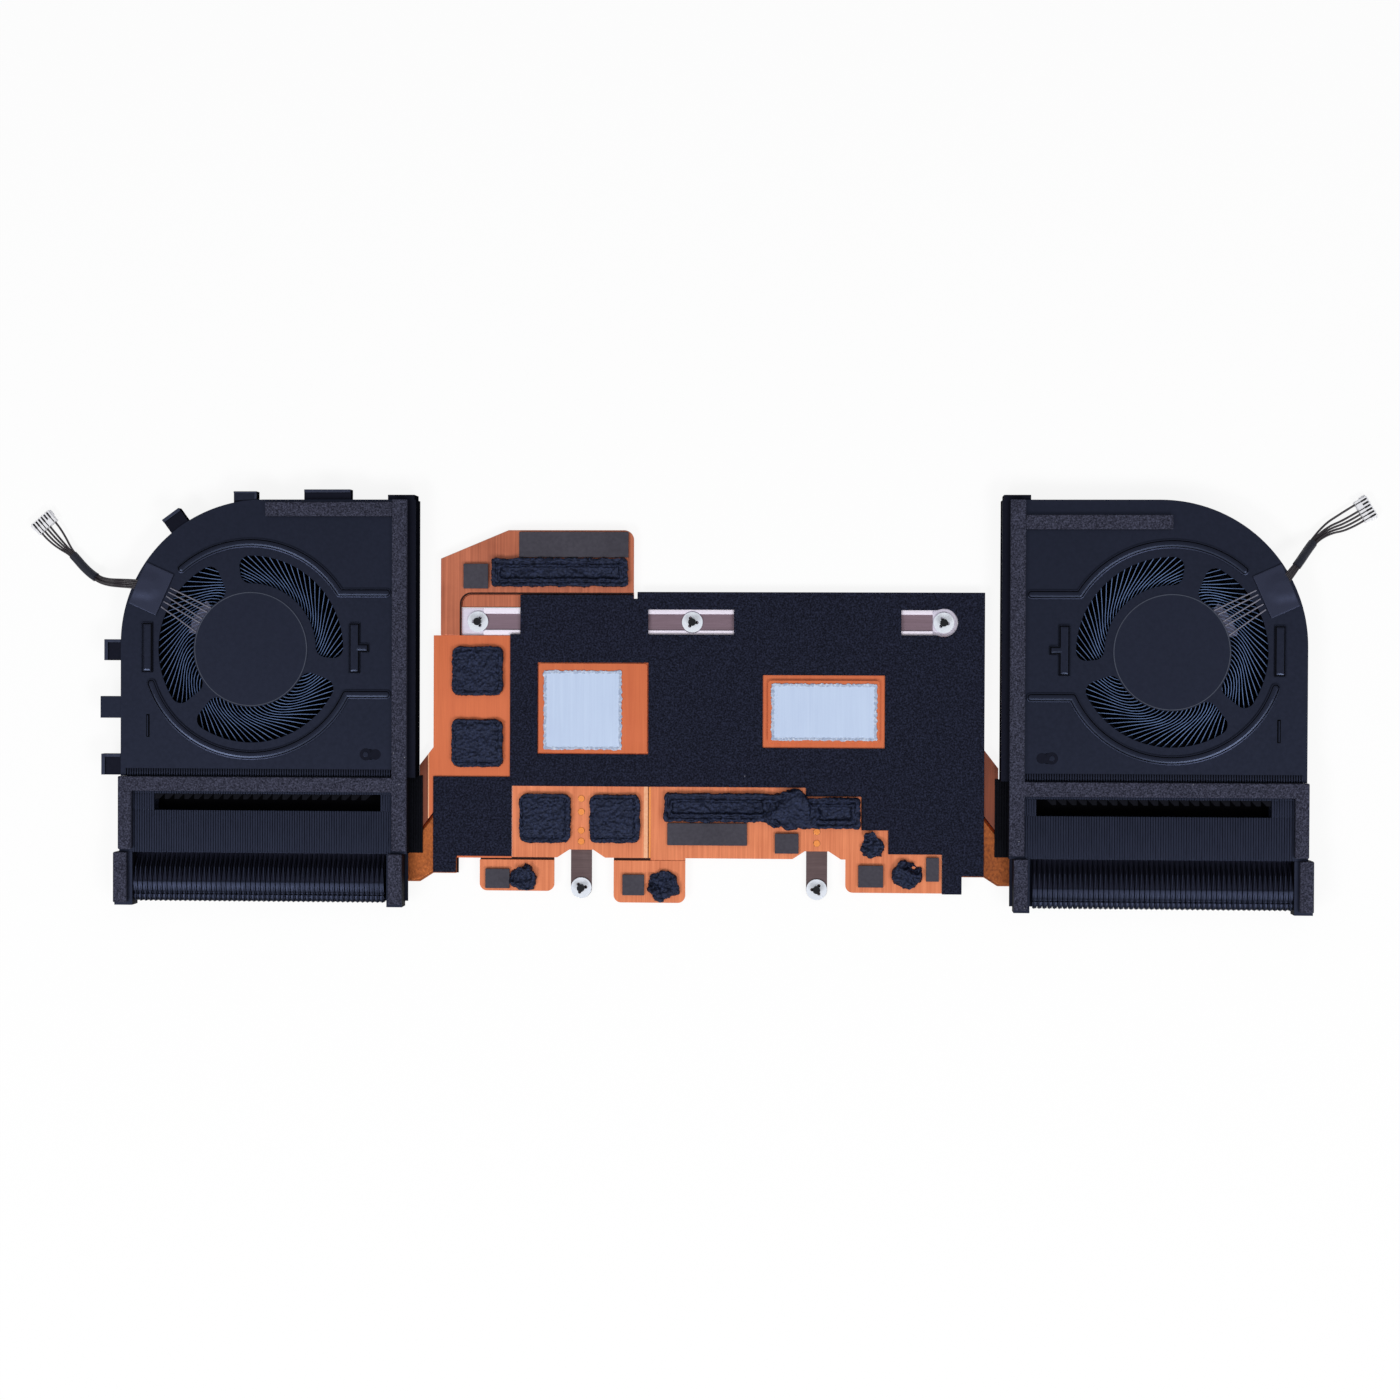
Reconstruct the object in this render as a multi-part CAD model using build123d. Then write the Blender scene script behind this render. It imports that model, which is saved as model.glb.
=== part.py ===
"""Dual-fan laptop cooling module, lying with its board side up.

Millimetres, +Z up, Z = 0 is the table. Fans, fin stacks and seals are drawn for the left side about
the left hub, with x towards the middle of the module, and mirrored for the right side.
"""
from build123d import *
import math
import os

# Layout of the module
fan_side_gap = 4.1
hub_y = 13.0

# Fan thickness, from the table up: cover, frame, base plate
cover_t = 0.4
frame_height = 6.6
base_t = 0.5
bead_height = 0.4

# Fan outline about the hub
fan_outer = 35.1
fan_top_edge = 39.8
fan_inner = 42.1
fan_outlet_edge = 34.0
scroll_r = 38.3
frame_wall = 1.6
frame_ledge = 2.1
frame_inner_wall = 3.6
corner_lug_from = 36.7
corner_lug_width = 7.1
corner_lug_out = 1.3
tongue_reach = 6.0
tongue_foot = 4.0
tongue_top = 4.0
tongue_gap = 1.8

# Hooks on the outside of the left frame: place along the side, width, reach
hook_height = 3.0
hook_skin = 0.9
side_hooks = ((-0.3, 5.6, 4.5), (-15.6, 5.8, 5.6), (-30.9, 5.6, 5.3))
top_hooks = ((-1.6, 6.2, 2.2), (20.5, 12.5, 2.7))
scroll_hook_angle = 126.0
scroll_hook_width = 5.5
scroll_hook_out = 4.3

# Inlet windows of the base plate: start angle, end angle, inner radius
inlet_r = 24.9
inlet_windows = ((-6.0, 98.0, 17.5), (113.0, 219.0, 15.4), (231.0, 339.0, 15.4))
window_corner = 2.7
cover_inlet_r = 24.0

# Stiffening beads pressed into the base plate
bead_r = 28.3
bead_width = 2.4
upper_bead_from = 32.0
upper_bead_to = 131.0
lower_bead_from = 199.0
lower_bead_to = 335.0
bead_run_gap = 0.4
side_bead_width = 3.0
side_bead_length = 13.4
side_bead_x = 27.9
side_bead_y = 0.4
side_bead_bump = 2.4
corner_bead_x = -27.7
corner_bead_y = -20.5
corner_bead_length = 6.1
corner_bead_width = 0.9

# Post that holds the two sheets apart at the outlet
post_x = 32.2
post_y = -27.9
post_r = 1.3
post_head_r = 1.7
post_head_t = 0.25
post_clearance = 0.1

# Impeller and motor
impeller_r = 29.5
blade_count = 79
blade_t = 0.35
blade_sweep = 37.0
blade_curl = 1.8
blade_steps = 3
blade_root = 0.4
hub_r = 14.5
hub_wall = 1.2
hub_floor_t = 0.8
running_gap_below = 0.8
running_gap_above = 0.6
magnet_t = 1.1
magnet_clearance = 0.05
magnet_top_gap = 0.5
shaft_r = 1.0
shaft_end_gap = 0.4
bearing_clearance = 0.03
sleeve_wall = 1.6
sleeve_floor_gap = 0.3
board_t = 0.5
board_r = 12.0
stator_poles = 9
stator_air_gap = 0.5
stator_seat_gap = 0.05
stator_yoke_r = 5.2
stator_pole_width = 1.6
stator_shoe_t = 0.9
stator_shoe_share = 0.78
stator_height = 2.2
stator_board_gap = 0.3

# Hub label, motor leads and the tape over them
label_r = 15.1
label_t = 0.1
lead_r = 0.2
lead_starts = ((-21.6, 16.2), (-22.1, 15.1), (-22.7, 14.0), (-23.4, 12.6), (-24.1, 11.2))
lead_angles = (134.5, 140.0, 148.5, 153.0, 163.0)
tape_x = -26.8
tape_y = 16.0
tape_width = 8.1
tape_length = 12.0
tape_turn = -24.0
tape_t = 0.6
tape_notch = 5.0
tape_notch_clearance = 0.1

# Fan cables, about the hub like the fans
cable_r = 1.0
cable_sleeve_wall = 0.4
cable_sleeve_clearance = 0.03
left_route = (
    (-27.8, 16.9, 8.7), (-31.6, 17.3, 8.75), (-35.6, 17.5, 7.6), (-39.3, 17.8, 5.0),
    (-42.7, 18.7, 2.6), (-46.3, 21.2, 1.6), (-49.7, 25.1, 1.5), (-53.5, 28.8, 1.2),
    (-56.7, 32.6, 1.2),
)
left_sleeve_index = 4
right_route = (
    (-27.6, 17.0, 8.7), (-30.0, 20.0, 8.75), (-32.7, 23.6, 7.3), (-35.4, 27.0, 4.4),
    (-38.1, 30.2, 2.1), (-41.6, 32.9, 1.4), (-45.4, 34.4, 1.2), (-49.3, 36.8, 1.2),
)
right_sleeve_index = 1
run_share = 0.45
plug_width = 6.2
plug_depth = 3.6
plug_height = 2.2
plug_ways = 6
plug_pitch = 0.95
plug_slot_width = 0.5
plug_slot_length = 1.6
plug_slot_depth = 0.4
plug_key = 0.4

# Fin stack behind the fan outlet
fin_pitch = 1.33
fin_t = 0.4
fin_overhang = 0.4
fin_gap = 0.2
fin_step = 54.3
fin_slope_end = 61.9
fin_band_end = 64.4
fin_groove = 65.1
fin_groove_depth = 0.9
fin_back = 67.4
fin_back_drop = 1.2
fin_valley = 0.8
fin_rear_drop = 0.4
fin_skin = 0.2
slot_outer_margin = 6.0
slot_inner_margin = 1.6
slot_front = 38.6
slot_back = 43.0
tooth_pitch = 2.65
tooth_depth = 1.5
channel_t = 0.4
outer_channel_width = 3.6
inner_channel_width = 4.2
inner_channel_gap = 1.3
foot_width = 3.4
end_bracket_out = 1.3
end_bracket_back = 1.1

# Foam seals
foam_t = 1.5
strip_width = 4.0
strip_to = 53.5
bar_width = 3.9
left_bar_from = 4.1
left_bar_drop = 0.7
right_bar_from = 0.0
right_bar_drop = 4.0
intake_bar_width = 3.8
block_width = 3.6
block_length = 13.4

# Heat spreader
spreader_lift = 0.4
spreader_t = 2.0
spreader_half = 73.3
spreader_top = 16.9
spreader_bottom = -23.2
tongue_upper = -13.0
tongue_jog = 4.8
tongue_lower = -30.3
tongue_jog_run = 3.6
fan_gap = 0.4
wing_inner = 66.9
wing_floor = -42.0
wing_left = 52.2
wing_lip = 0.5
solder_gap = 0.2
pipe_lower = -46.7
pipe_drop = 2.3
pipe_edge = 0.6

# Contact lands and paste: centre, size, height
gpu_land = (-30.5, -2.4, 29.0, 23.8)
gpu_land_height = 0.7
gpu_paste = (-33.2, -2.9, 20.9, 21.1)
cpu_land = (30.9, -3.05, 29.5, 16.5)
cpu_land_height = 0.9
cpu_paste = (31.0, -3.15, 28.0, 15.1)
paste_t = 0.15
land_corner = 0.8
land_gap = 0.3
cpu_window_margin = 1.4

# Copper plates
copper_t = 0.8
upper_rise = 0.2
upper_left_margin = 1.9
upper_right = -19.7
upper_top = 45.0
upper_chamfer_x = 18.2
upper_chamfer_y = 7.6
upper_inner = 27.9
upper_corner = 2.6
recess_overlap = 0.8
bar_side_gap = 0.1
lower_step = 0.3
joggle_x = -16.8
joggle_run = 1.8
lower_edge = -42.2
lower_left = -52.0
lower_right = 62.3
lower_corner = 2.0
lower_wing_from = 36.8
lower_wing_edge = -51.0
arm_notch_depth = 2.1
arm_notch_flare = 3.2
arm_notch_flat = 0.4
tab_groove = 0.7
tab_groove_depth = 0.4
left_tab = (-60.7, -40.7, -51.2)
middle_tab = (-24.8, -5.7, -54.1)

# Foam sheet over the spreader
sheet_t = 0.5
sheet_top = 28.6
sheet_upper_left = -50.0
sheet_upper_right = -18.7
sheet_notch = 1.0
sheet_left_column = -52.7
sheet_column_top = 17.3
sheet_left_window = -20.8
sheet_foot_in = 6.2
sheet_foot = -46.4
sheet_right_foot = -51.2
sheet_right_foot_from = 62.3
sheet_right_foot_to = 67.5
sheet_right_edges = ((26.3, -25.5), (41.0, -34.4), (48.1, -40.7))
bar_window_half = 3.3
middle_window = (-15.8, 7.0)
right_window_length = 14.9
right_window_r = 3.7

# Spring bar, arms, captive screws
spring_t = 0.6
bar_left_margin = 6.7
bar_right_margin = 7.1
bar_height = 7.4
bar_rib_width = 1.5
bar_rib_height = 0.5
bar_pad = 6.6
bar_corner = 0.5
bar_left_screw = 5.1
bar_middle_screw = -4.1
bar_right_screw = 3.7
arm_width = 5.6
arm_left = -33.5
arm_right = 29.2
arm_screw_y = -50.3
arm_rivet_ys = (-26.5, -30.0, -35.0, -37.9)
right_rivet_ys = (-34.9, -38.0)
arm_start_gap = 0.3
rivet_r = 0.6
rivet_head_r = 0.9
rivet_head_t = 0.2
screw_r = 1.0
screw_neck_r = 0.75
screw_hole_clearance = 0.25
screw_head_r = 2.0
screw_head_t = 0.8
screw_play = 0.05
screw_tip = 2.4
screw_drive_width = 0.6
screw_drive_length = 2.2
screw_drive_depth = 0.4
ring_r = 2.75
ring_t = 0.45
ring_gap = 0.05
ring_side_gap = 0.2
ring_lobes = 3
ring_lobe_r = 0.45
ring_lobe_at = 1.2

# Pads and putty: corners x0, y0, x1, y1, on the plate that carries them
pad_t = 1.0
upper_pads = ((-50.3, 37.7, -21.1, 44.5), (-65.2, 29.4, -58.6, 36.0))
lower_left_pads = ((-59.1, -50.5, -52.6, -45.3), (-22.4, -52.1, -16.6, -46.6))
lower_right_pads = (
    (-10.5, -38.7, 10.7, -32.8), (18.1, -40.7, 24.4, -35.4), (40.2, -49.5, 46.8, -43.7),
    (58.1, -47.8, 61.5, -41.5),
)
putty_t = 1.3
putty_corner = 2.0
column_putty = ((-68.2, 0.9, -54.6, 13.9), (-68.3, -18.2, -54.6, -5.5))
lower_putty = ((-50.0, -38.2, -36.3, -25.3), (-31.2, -38.2, -17.8, -25.4))
upper_bead_box = (-57.5, 30.0, -21.3, 37.4)
lower_bead_box = (-11.3, -32.4, 18.5, -24.9)
lower_bead_end = (26.5, -33.9, 40.6, -25.9)
lower_bead_blob = (22.5, -28.7, 4.9)
blob_extra = 0.9
bead_t = 1.6
left_dab = (-48.7, -47.4, 3.6)
middle_dab = (-11.5, -49.2, 4.2)
wing_dabs = ((43.9, -38.4, 3.3), (53.0, -46.2, 3.7))
dab_points = 7
dab_wave = 0.14

# Levels that follow from the sizes above
hub_x = spreader_half + fan_side_gap + fan_inner + frame_ledge
frame_z = cover_t
base_z = frame_z + frame_height
fan_z = base_z + base_t
spreader_z = spreader_lift + spreader_t
upper_z = spreader_z + upper_rise
lower_right_z = spreader_z
lower_left_z = spreader_z + lower_step
left_arm_z = lower_left_z - copper_t
right_arm_z = lower_right_z - copper_t
bar_z = right_arm_z
sheet_z = spreader_z + sheet_t
scroll_x = scroll_r - fan_outer
scroll_y = fan_top_edge - scroll_r
blade_low = frame_z + running_gap_below
blade_high = base_z - running_gap_above
hub_inner_r = hub_r - hub_wall
hub_floor_z = blade_low + hub_floor_t
sleeve_r = shaft_r + bearing_clearance + sleeve_wall
magnet_r = hub_inner_r - magnet_clearance
fin_front = fan_outlet_edge + fin_gap
fin_from = outer_channel_width - fan_outer - fin_overhang
channel_inner = fan_inner - inner_channel_width
fin_to = channel_inner - inner_channel_gap
slot_from = fin_from + slot_outer_margin
slot_to = fin_to - slot_inner_margin
strip_inner = fan_inner - strip_width
bar_y = spreader_top + bar_height / 2
bar_left = bar_left_margin - spreader_half
bar_right = spreader_half - bar_right_margin
upper_left = upper_left_margin - spreader_half
recess_from = bar_left + recess_overlap
bar_screws = (bar_left + bar_left_screw, bar_middle_screw, bar_right - bar_right_screw)


def rect(x0, y0, x1, y1):
    """Rectangle between two corners."""
    return Pos((x0 + x1) / 2, (y0 + y1) / 2) * Rectangle(abs(x1 - x0), abs(y1 - y0))


def soft_rect(x0, y0, x1, y1, radius):
    """Rectangle between two corners, with rounded corners."""
    return Pos((x0 + x1) / 2, (y0 + y1) / 2) * RectangleRounded(x1 - x0, y1 - y0, radius)


def outline(*points):
    """Closed outline through corner points."""
    return make_face(Polyline(*points, close=True))


def slab(sketch, bottom, top):
    """Flat piece of a sketch between two levels."""
    return Pos(0, 0, bottom) * extrude(sketch, top - bottom)


def on_left(piece):
    """Piece drawn about the left hub, in its place."""
    return Pos(-hub_x, hub_y, 0) * piece


def on_right(piece):
    """Mirror image of a left piece, in its place on the right."""
    return mirror(on_left(piece), about=Plane.YZ)


def on_circle(radius, angle):
    """Point of a circle about the hub, at an angle in degrees."""
    turn = math.radians(angle)
    return radius * math.cos(turn), radius * math.sin(turn)


def scroll_outline(inset, inner, outlet):
    """Fan outline: a box whose outer top corner is one large arc."""
    box = rect(inset - fan_outer, -outlet, inner, fan_top_edge - inset)
    corner = rect(inset - fan_outer, scroll_y, scroll_x, fan_top_edge - inset)
    return box - (corner - Pos(scroll_x, scroll_y) * Circle(scroll_r - inset))


# Fan housing


def window(start, end, inner_r):
    """One inlet window: a ring sector with rounded corners."""
    outer = CenterArc((0, 0), inlet_r, start, end - start)
    inner = CenterArc((0, 0), inner_r, start, end - start)
    sides = Line(outer @ 0, inner @ 0) + Line(outer @ 1, inner @ 1)
    sector = make_face(outer + inner + sides)
    return fillet(sector.vertices(), window_corner)


def bead_sketch():
    """Raised beads of the base plate."""
    upper_start = on_circle(bead_r, upper_bead_from)
    lower_end = on_circle(bead_r, lower_bead_to)
    upper = CenterArc((0, 0), bead_r, upper_bead_from, upper_bead_to - upper_bead_from)
    lower = CenterArc((0, 0), bead_r, lower_bead_from, lower_bead_to - lower_bead_from)
    sketch = SlotArc(upper, bead_width) + SlotArc(lower, bead_width)
    run_end = strip_inner - bead_run_gap - bead_width / 2
    for start in (upper_start, lower_end):
        sketch += SlotArc(Line(start, (run_end, start[1])), bead_width)
    for x in (-side_bead_x, side_bead_x):
        sketch += Pos(x, side_bead_y) * Rectangle(side_bead_width, side_bead_length)
    bump_x = side_bead_x + side_bead_width / 2 + side_bead_bump / 2
    sketch += Pos(bump_x, side_bead_y) * Rectangle(side_bead_bump, side_bead_bump)
    sketch += Pos(corner_bead_x, corner_bead_y) * Rectangle(corner_bead_width, corner_bead_length)
    return sketch


def base_plate():
    """Steel plate that carries the motor, with three inlet windows and pressed beads."""
    sketch = scroll_outline(0, fan_inner, fan_outlet_edge)
    sketch -= [window(*angles) for angles in inlet_windows]
    sketch -= Pos(post_x, post_y) * Circle(post_r + post_clearance)
    return slab(sketch, base_z, fan_z) + slab(bead_sketch(), fan_z, fan_z + bead_height)


def hook(width, reach):
    """Moulded hook that stands out along -x, open below."""
    body = slab(rect(-reach, -width / 2, frame_wall / 2, width / 2), base_z - hook_height, base_z)
    pocket = rect(hook_skin - reach, hook_skin - width / 2, -hook_skin, width / 2 - hook_skin)
    return body - slab(pocket, base_z - hook_height, base_z - hook_skin)


def frame(with_hooks):
    """Moulded scroll wall between cover and base plate, open at the outlet."""
    inner_face = fan_inner + frame_ledge
    walls = scroll_outline(0, inner_face, fan_outlet_edge)
    walls -= scroll_outline(frame_wall, inner_face - frame_inner_wall, fan_outlet_edge + frame_wall)
    wall_x = frame_wall / 2 - fan_outer
    wedge = outline(
        (wall_x, -tongue_top), (tongue_reach - fan_outer + frame_wall, -fan_outlet_edge / 2),
        (tongue_foot - fan_outer + frame_wall, -fan_outlet_edge), (wall_x, -fan_outlet_edge),
    )
    walls += wedge - Circle(impeller_r + tongue_gap)
    lug_end = corner_lug_from + corner_lug_width
    walls += rect(corner_lug_from, fan_top_edge - frame_wall, lug_end, fan_top_edge + corner_lug_out)
    body = slab(walls, frame_z, base_z)
    if with_hooks:
        for y, width, reach in side_hooks:
            body += Pos(-fan_outer, y, 0) * hook(width, reach)
        for x, width, reach in top_hooks:
            body += Pos(x, fan_top_edge, 0) * Rot(0, 0, -90) * hook(width, reach)
        turned = Rot(0, 0, scroll_hook_angle - 180) * hook(scroll_hook_width, scroll_hook_out)
        reach_x, reach_y = on_circle(scroll_r, scroll_hook_angle)
        body += Pos(scroll_x + reach_x, scroll_y + reach_y, 0) * turned
    return body


def cover():
    """Steel cover on the far side, with one round inlet."""
    sketch = scroll_outline(0, fan_inner + frame_ledge, fan_outlet_edge) - Circle(cover_inlet_r)
    return slab(sketch, 0, cover_t)


def outlet_post():
    """Post between the two sheets, riveted over on the base plate."""
    shank = slab(Circle(post_r), cover_t, fan_z)
    head = slab(Circle(post_head_r), fan_z, fan_z + post_head_t)
    return Pos(post_x, post_y, 0) * (shank + head)


# Rotor and motor


def camber_point(share, turn):
    """Point of a blade's middle line, from the hub (0) to the tip (1), swept one way or the other."""
    start = hub_r - blade_root
    radius = start + (impeller_r - start) * share
    return Vector(*on_circle(radius, turn * blade_sweep * (1 - (1 - share) ** blade_curl)))


def blade_sketch(turn):
    """One blade seen along the axis: a swept line that straightens towards its tip."""
    step = 1 / blade_steps
    front = []
    back = []
    for index in range(blade_steps + 1):
        share = index * step
        here = camber_point(share, turn)
        ahead = camber_point(min(share + step / 2, 1), turn) - camber_point(max(share - step / 2, 0), turn)
        side = Vector(-ahead.Y, ahead.X).normalized() * (blade_t / 2)
        front.append(here + side)
        back.append(here - side)
    return outline(*front, *reversed(back))


def impeller(turn):
    """Hub cup, open towards the base plate, with its ring of thin swept blades."""
    ring = Circle(hub_r) - Circle(hub_inner_r)
    blade = blade_sketch(turn)
    blades = [Rot(0, 0, 360 * index / blade_count) * blade for index in range(blade_count)]
    crown = slab(ring + blades, blade_low, blade_high)
    return crown + slab(Circle(hub_r), blade_low, hub_floor_z)


def rotor_magnet():
    """Magnet ring inside the hub cup."""
    ring = Circle(magnet_r) - Circle(magnet_r - magnet_t)
    return slab(ring, hub_floor_z, blade_high - magnet_top_gap)


def rotor_shaft():
    """Shaft that stands on the hub floor."""
    return slab(Circle(shaft_r), hub_floor_z, base_z - shaft_end_gap)


def bearing_sleeve():
    """Bearing sleeve under the base plate."""
    ring = Circle(sleeve_r) - Circle(shaft_r + bearing_clearance)
    return slab(ring, hub_floor_z + sleeve_floor_gap, base_z)


def motor_board():
    """Round circuit board against the base plate, about the sleeve."""
    return slab(Circle(board_r) - Circle(sleeve_r + stator_seat_gap), base_z - board_t, base_z)


def stator():
    """Stator with its poles and shoes, seated on the bearing sleeve."""
    shoe_r = magnet_r - magnet_t - stator_air_gap
    sketch = Circle(stator_yoke_r)
    sector = 360 / stator_poles
    shoe_ring = Circle(shoe_r) - Circle(shoe_r - stator_shoe_t)
    shoe_turn = sector * stator_shoe_share / 2
    wedge = outline((0, 0), on_circle(2 * shoe_r, -shoe_turn), on_circle(2 * shoe_r, shoe_turn))
    pole = rect(0, -stator_pole_width / 2, shoe_r - stator_shoe_t / 2, stator_pole_width / 2)
    pole += shoe_ring & wedge
    for index in range(stator_poles):
        sketch += Rot(0, 0, sector * index) * pole
    sketch -= Circle(sleeve_r + stator_seat_gap)
    top = base_z - board_t - stator_board_gap
    return slab(sketch, top - stator_height, top)


# Label, leads, tape and cable


def hub_label():
    """Plain label over the hub land."""
    return slab(Circle(label_r), fan_z, fan_z + label_t)


def motor_leads():
    """Five thin leads from the tape to the edge of the label."""
    leads = []
    for start, angle in zip(lead_starts, lead_angles):
        start_point = Vector(*start, fan_z + lead_r)
        end_point = Vector(*on_circle(label_r + lead_r, angle), fan_z + lead_r)
        run = end_point - start_point
        leads.append(Plane(start_point, z_dir=run) * extrude(Circle(lead_r), run.length))
    return Compound(leads)


def cable_tape(route, to_left):
    """Tape over the leads, notched where the cable comes out."""
    tape = Pos(tape_x, tape_y) * Rot(0, 0, tape_turn) * Rectangle(tape_width, tape_length)
    body = slab(tape, fan_z, fan_z + tape_t)
    start = Vector(*route[0])
    run = Vector(*route[1]) - start
    run.Z = 0
    notch_start = Plane(Vector(start.X, start.Y, fan_z), z_dir=(0, 0, 1), x_dir=run.normalized())
    half = cable_r + tape_notch_clearance
    notch = notch_start * slab(rect(0, -half, tape_notch, half), 0, tape_t * 2)
    return (on_left(body) if to_left else on_right(body)) - notch


def cable_points(route, outward):
    """Points of a cable's route in the module's frame, on the left (-1) or the right (1)."""
    return [(outward * (hub_x - x), hub_y + y, z) for x, y, z in route]


def corner_radii(route):
    """Bend radius at each inner point of a route: as large as its two runs allow."""
    radii = []
    for before, here, after in zip(route, route[1:], route[2:]):
        inward = Vector(*here) - Vector(*before)
        outward = Vector(*after) - Vector(*here)
        half_turn = math.radians(inward.get_angle(outward)) / 2
        radii.append(run_share * min(inward.length, outward.length) / math.tan(half_turn))
    return radii


def tube(points, radii, outer_r, inner_r=0):
    """Tube along straight runs joined by arcs."""
    path = FilletPolyline(*points, radius=radii)
    section = Circle(outer_r)
    if inner_r:
        section -= Circle(inner_r)
    return sweep(Plane(path @ 0, z_dir=path % 0) * section, path=path)


def cable(route):
    """Cable from the tape to the plug."""
    return tube(route, corner_radii(route), cable_r)


def cable_sleeve(route, run):
    """Shrink sleeve on the cable, from the middle of one run to the middle of the next but one."""
    radii = corner_radii(route)
    first = (Vector(*route[run]) + Vector(*route[run + 1])) / 2
    last = (Vector(*route[run + 2]) + Vector(*route[run + 3])) / 2
    bore = cable_r + cable_sleeve_clearance
    points = (first, route[run + 1], route[run + 2], last)
    return tube(points, radii[run:run + 2], bore + cable_sleeve_wall, bore)


def plug(route):
    """Flat plug on the end of a cable, with a row of contact slots and two keys."""
    end = Vector(*route[-1])
    heading = end - Vector(*route[-2])
    heading.Z = 0
    body = slab(rect(0, -plug_width / 2, plug_depth, plug_width / 2), 0, plug_height)
    for side in (-1, 1):
        key = rect(plug_depth / 2, -plug_key, plug_depth, plug_key)
        body += Pos(0, side * plug_width / 2, 0) * slab(key, plug_height / 4, plug_height * 3 / 4)
    slot_x = plug_depth - plug_slot_length
    for way in range(plug_ways):
        y = (way - (plug_ways - 1) / 2) * plug_pitch
        slot = rect(slot_x, y - plug_slot_width / 2, plug_depth, y + plug_slot_width / 2)
        body -= slab(slot, plug_height - plug_slot_depth, plug_height)
    return Plane(Vector(end.X, end.Y, 0), z_dir=(0, 0, 1), x_dir=heading.normalized()) * body


# Fin stack and seals


def fin_profile():
    """Side view of one fin: flat top at the fan, a deep step, then a slope up to the rear edge."""
    foot = spreader_z
    rear = fan_z - fin_rear_drop
    points = (
        (-fin_front, foot), (-fin_front, fan_z), (-fin_step, fan_z), (-fin_step, foot + fin_valley),
        (-fin_slope_end, rear), (-fin_band_end, rear), (-fin_groove, rear - fin_groove_depth),
        (-fin_back, rear - fin_back_drop), (-fin_back, foot),
    )
    return make_face(Polyline(*[(0, y, z) for y, z in points], close=True))


def channel(x0, x1, front, back):
    """Folded end channel: a top strip on two upright walls."""
    outside = slab(rect(x0, -front, x1, -back), spreader_z, fan_z)
    inside = rect(x0 + channel_t, -front, x1 - channel_t, -back)
    return outside - slab(inside, spreader_z, fan_z - channel_t)


def fin_stack():
    """Soldered fins with their folded top, the slot with its toothed edge and the end channels."""
    count = int((fin_to - fin_from - fin_t) / fin_pitch) + 1
    fin = extrude(fin_profile(), fin_t, dir=(1, 0, 0))
    first = (fin_from + fin_to - (count - 1) * fin_pitch - fin_t) / 2
    fins = [Pos(first + index * fin_pitch, 0, 0) * fin for index in range(count)]
    skin = rect(fin_from - channel_t, -fin_front, channel_inner + channel_t, -fin_step)
    opening = rect(slot_from, -slot_front, slot_to, -slot_back)
    for index in range(int((slot_to - slot_from) / tooth_pitch)):
        x = slot_from + index * tooth_pitch
        opening -= outline((x, -slot_front), (x + tooth_pitch, -slot_front), (x, -slot_front - tooth_depth))
    outer_edge = fin_from - outer_channel_width
    bracket_back = fin_back + end_bracket_back
    body = slab(skin - opening, fan_z - fin_skin, fan_z)
    body += channel(outer_edge, fin_from, fin_front, fin_step)
    body += channel(channel_inner, fan_inner, fin_front, fin_step)
    body += channel(outer_edge - end_bracket_out, fin_from, fin_step, bracket_back)
    body += channel(fin_to, fan_inner - end_bracket_out, fin_step, bracket_back)
    foot = rect(fan_inner - channel_t, -fin_front, fan_inner + foot_width, -fin_step)
    body += slab(foot, spreader_z, spreader_z + channel_t)
    return body + fins


def outlet_gasket():
    """One die-cut foam strip round the outlet: along the inner side, across, and down the outer side."""
    outer = fin_from - outer_channel_width
    sketch = rect(strip_inner, -strip_to, fan_inner, fan_top_edge)
    sketch += rect(outer, -fan_outlet_edge - bar_width, strip_inner, -fan_outlet_edge)
    sketch += rect(outer, -strip_to, fin_from, -fan_outlet_edge)
    return slab(sketch, fan_z, fan_z + foam_t)


def intake_bar(start, drop):
    """Foam bar along the top edge of the base plate."""
    top = fan_top_edge - drop
    return slab(rect(start, top - intake_bar_width, strip_inner, top), fan_z, fan_z + foam_t)


def end_blocks():
    """Foam blocks on the two end brackets of the fin stack."""
    outer = fin_from - outer_channel_width - end_bracket_out
    inner = fan_inner - end_bracket_out
    back = -fin_step - block_length
    sketch = rect(outer, back, outer + block_width, -fin_step)
    sketch += rect(inner - block_width, back, inner, -fin_step)
    return slab(sketch, fan_z, fan_z + foam_t)


# Heat spreader and copper plates


def land(place, height):
    """Raised contact land on the spreader."""
    x, y, width, length = place
    sketch = Pos(x, y) * RectangleRounded(width, length, land_corner)
    return slab(sketch, spreader_z, spreader_z + height)


def spreader_outline():
    """Half outline, right of the middle, repeated on the left with the corner under the sheet added."""
    frame_face = hub_x - fan_inner - frame_ledge - fan_gap
    fan_edge = hub_y - fan_outlet_edge - fin_gap - fan_gap
    end = hub_x - fin_from
    jog_end = spreader_half + tongue_jog_run
    half = outline(
        (0, spreader_top), (spreader_half, spreader_top), (spreader_half, tongue_upper),
        (frame_face, tongue_upper - tongue_jog), (frame_face, fan_edge), (end, fan_edge),
        (end, tongue_lower - tongue_jog), (jog_end, tongue_lower - tongue_jog),
        (spreader_half, tongue_lower), (wing_inner, tongue_lower), (wing_inner, spreader_bottom),
        (0, spreader_bottom),
    )
    corner = rect(-wing_inner, wing_floor - wing_lip, -wing_left, spreader_bottom)
    return half + mirror(half, about=Plane.YZ) + corner


def vapour_chamber():
    """Sealed heat spreader with two raised contact lands and a tongue under each fin stack."""
    body = slab(spreader_outline(), spreader_lift, spreader_z)
    return body + land(gpu_land, gpu_land_height) + land(cpu_land, cpu_land_height)


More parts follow.
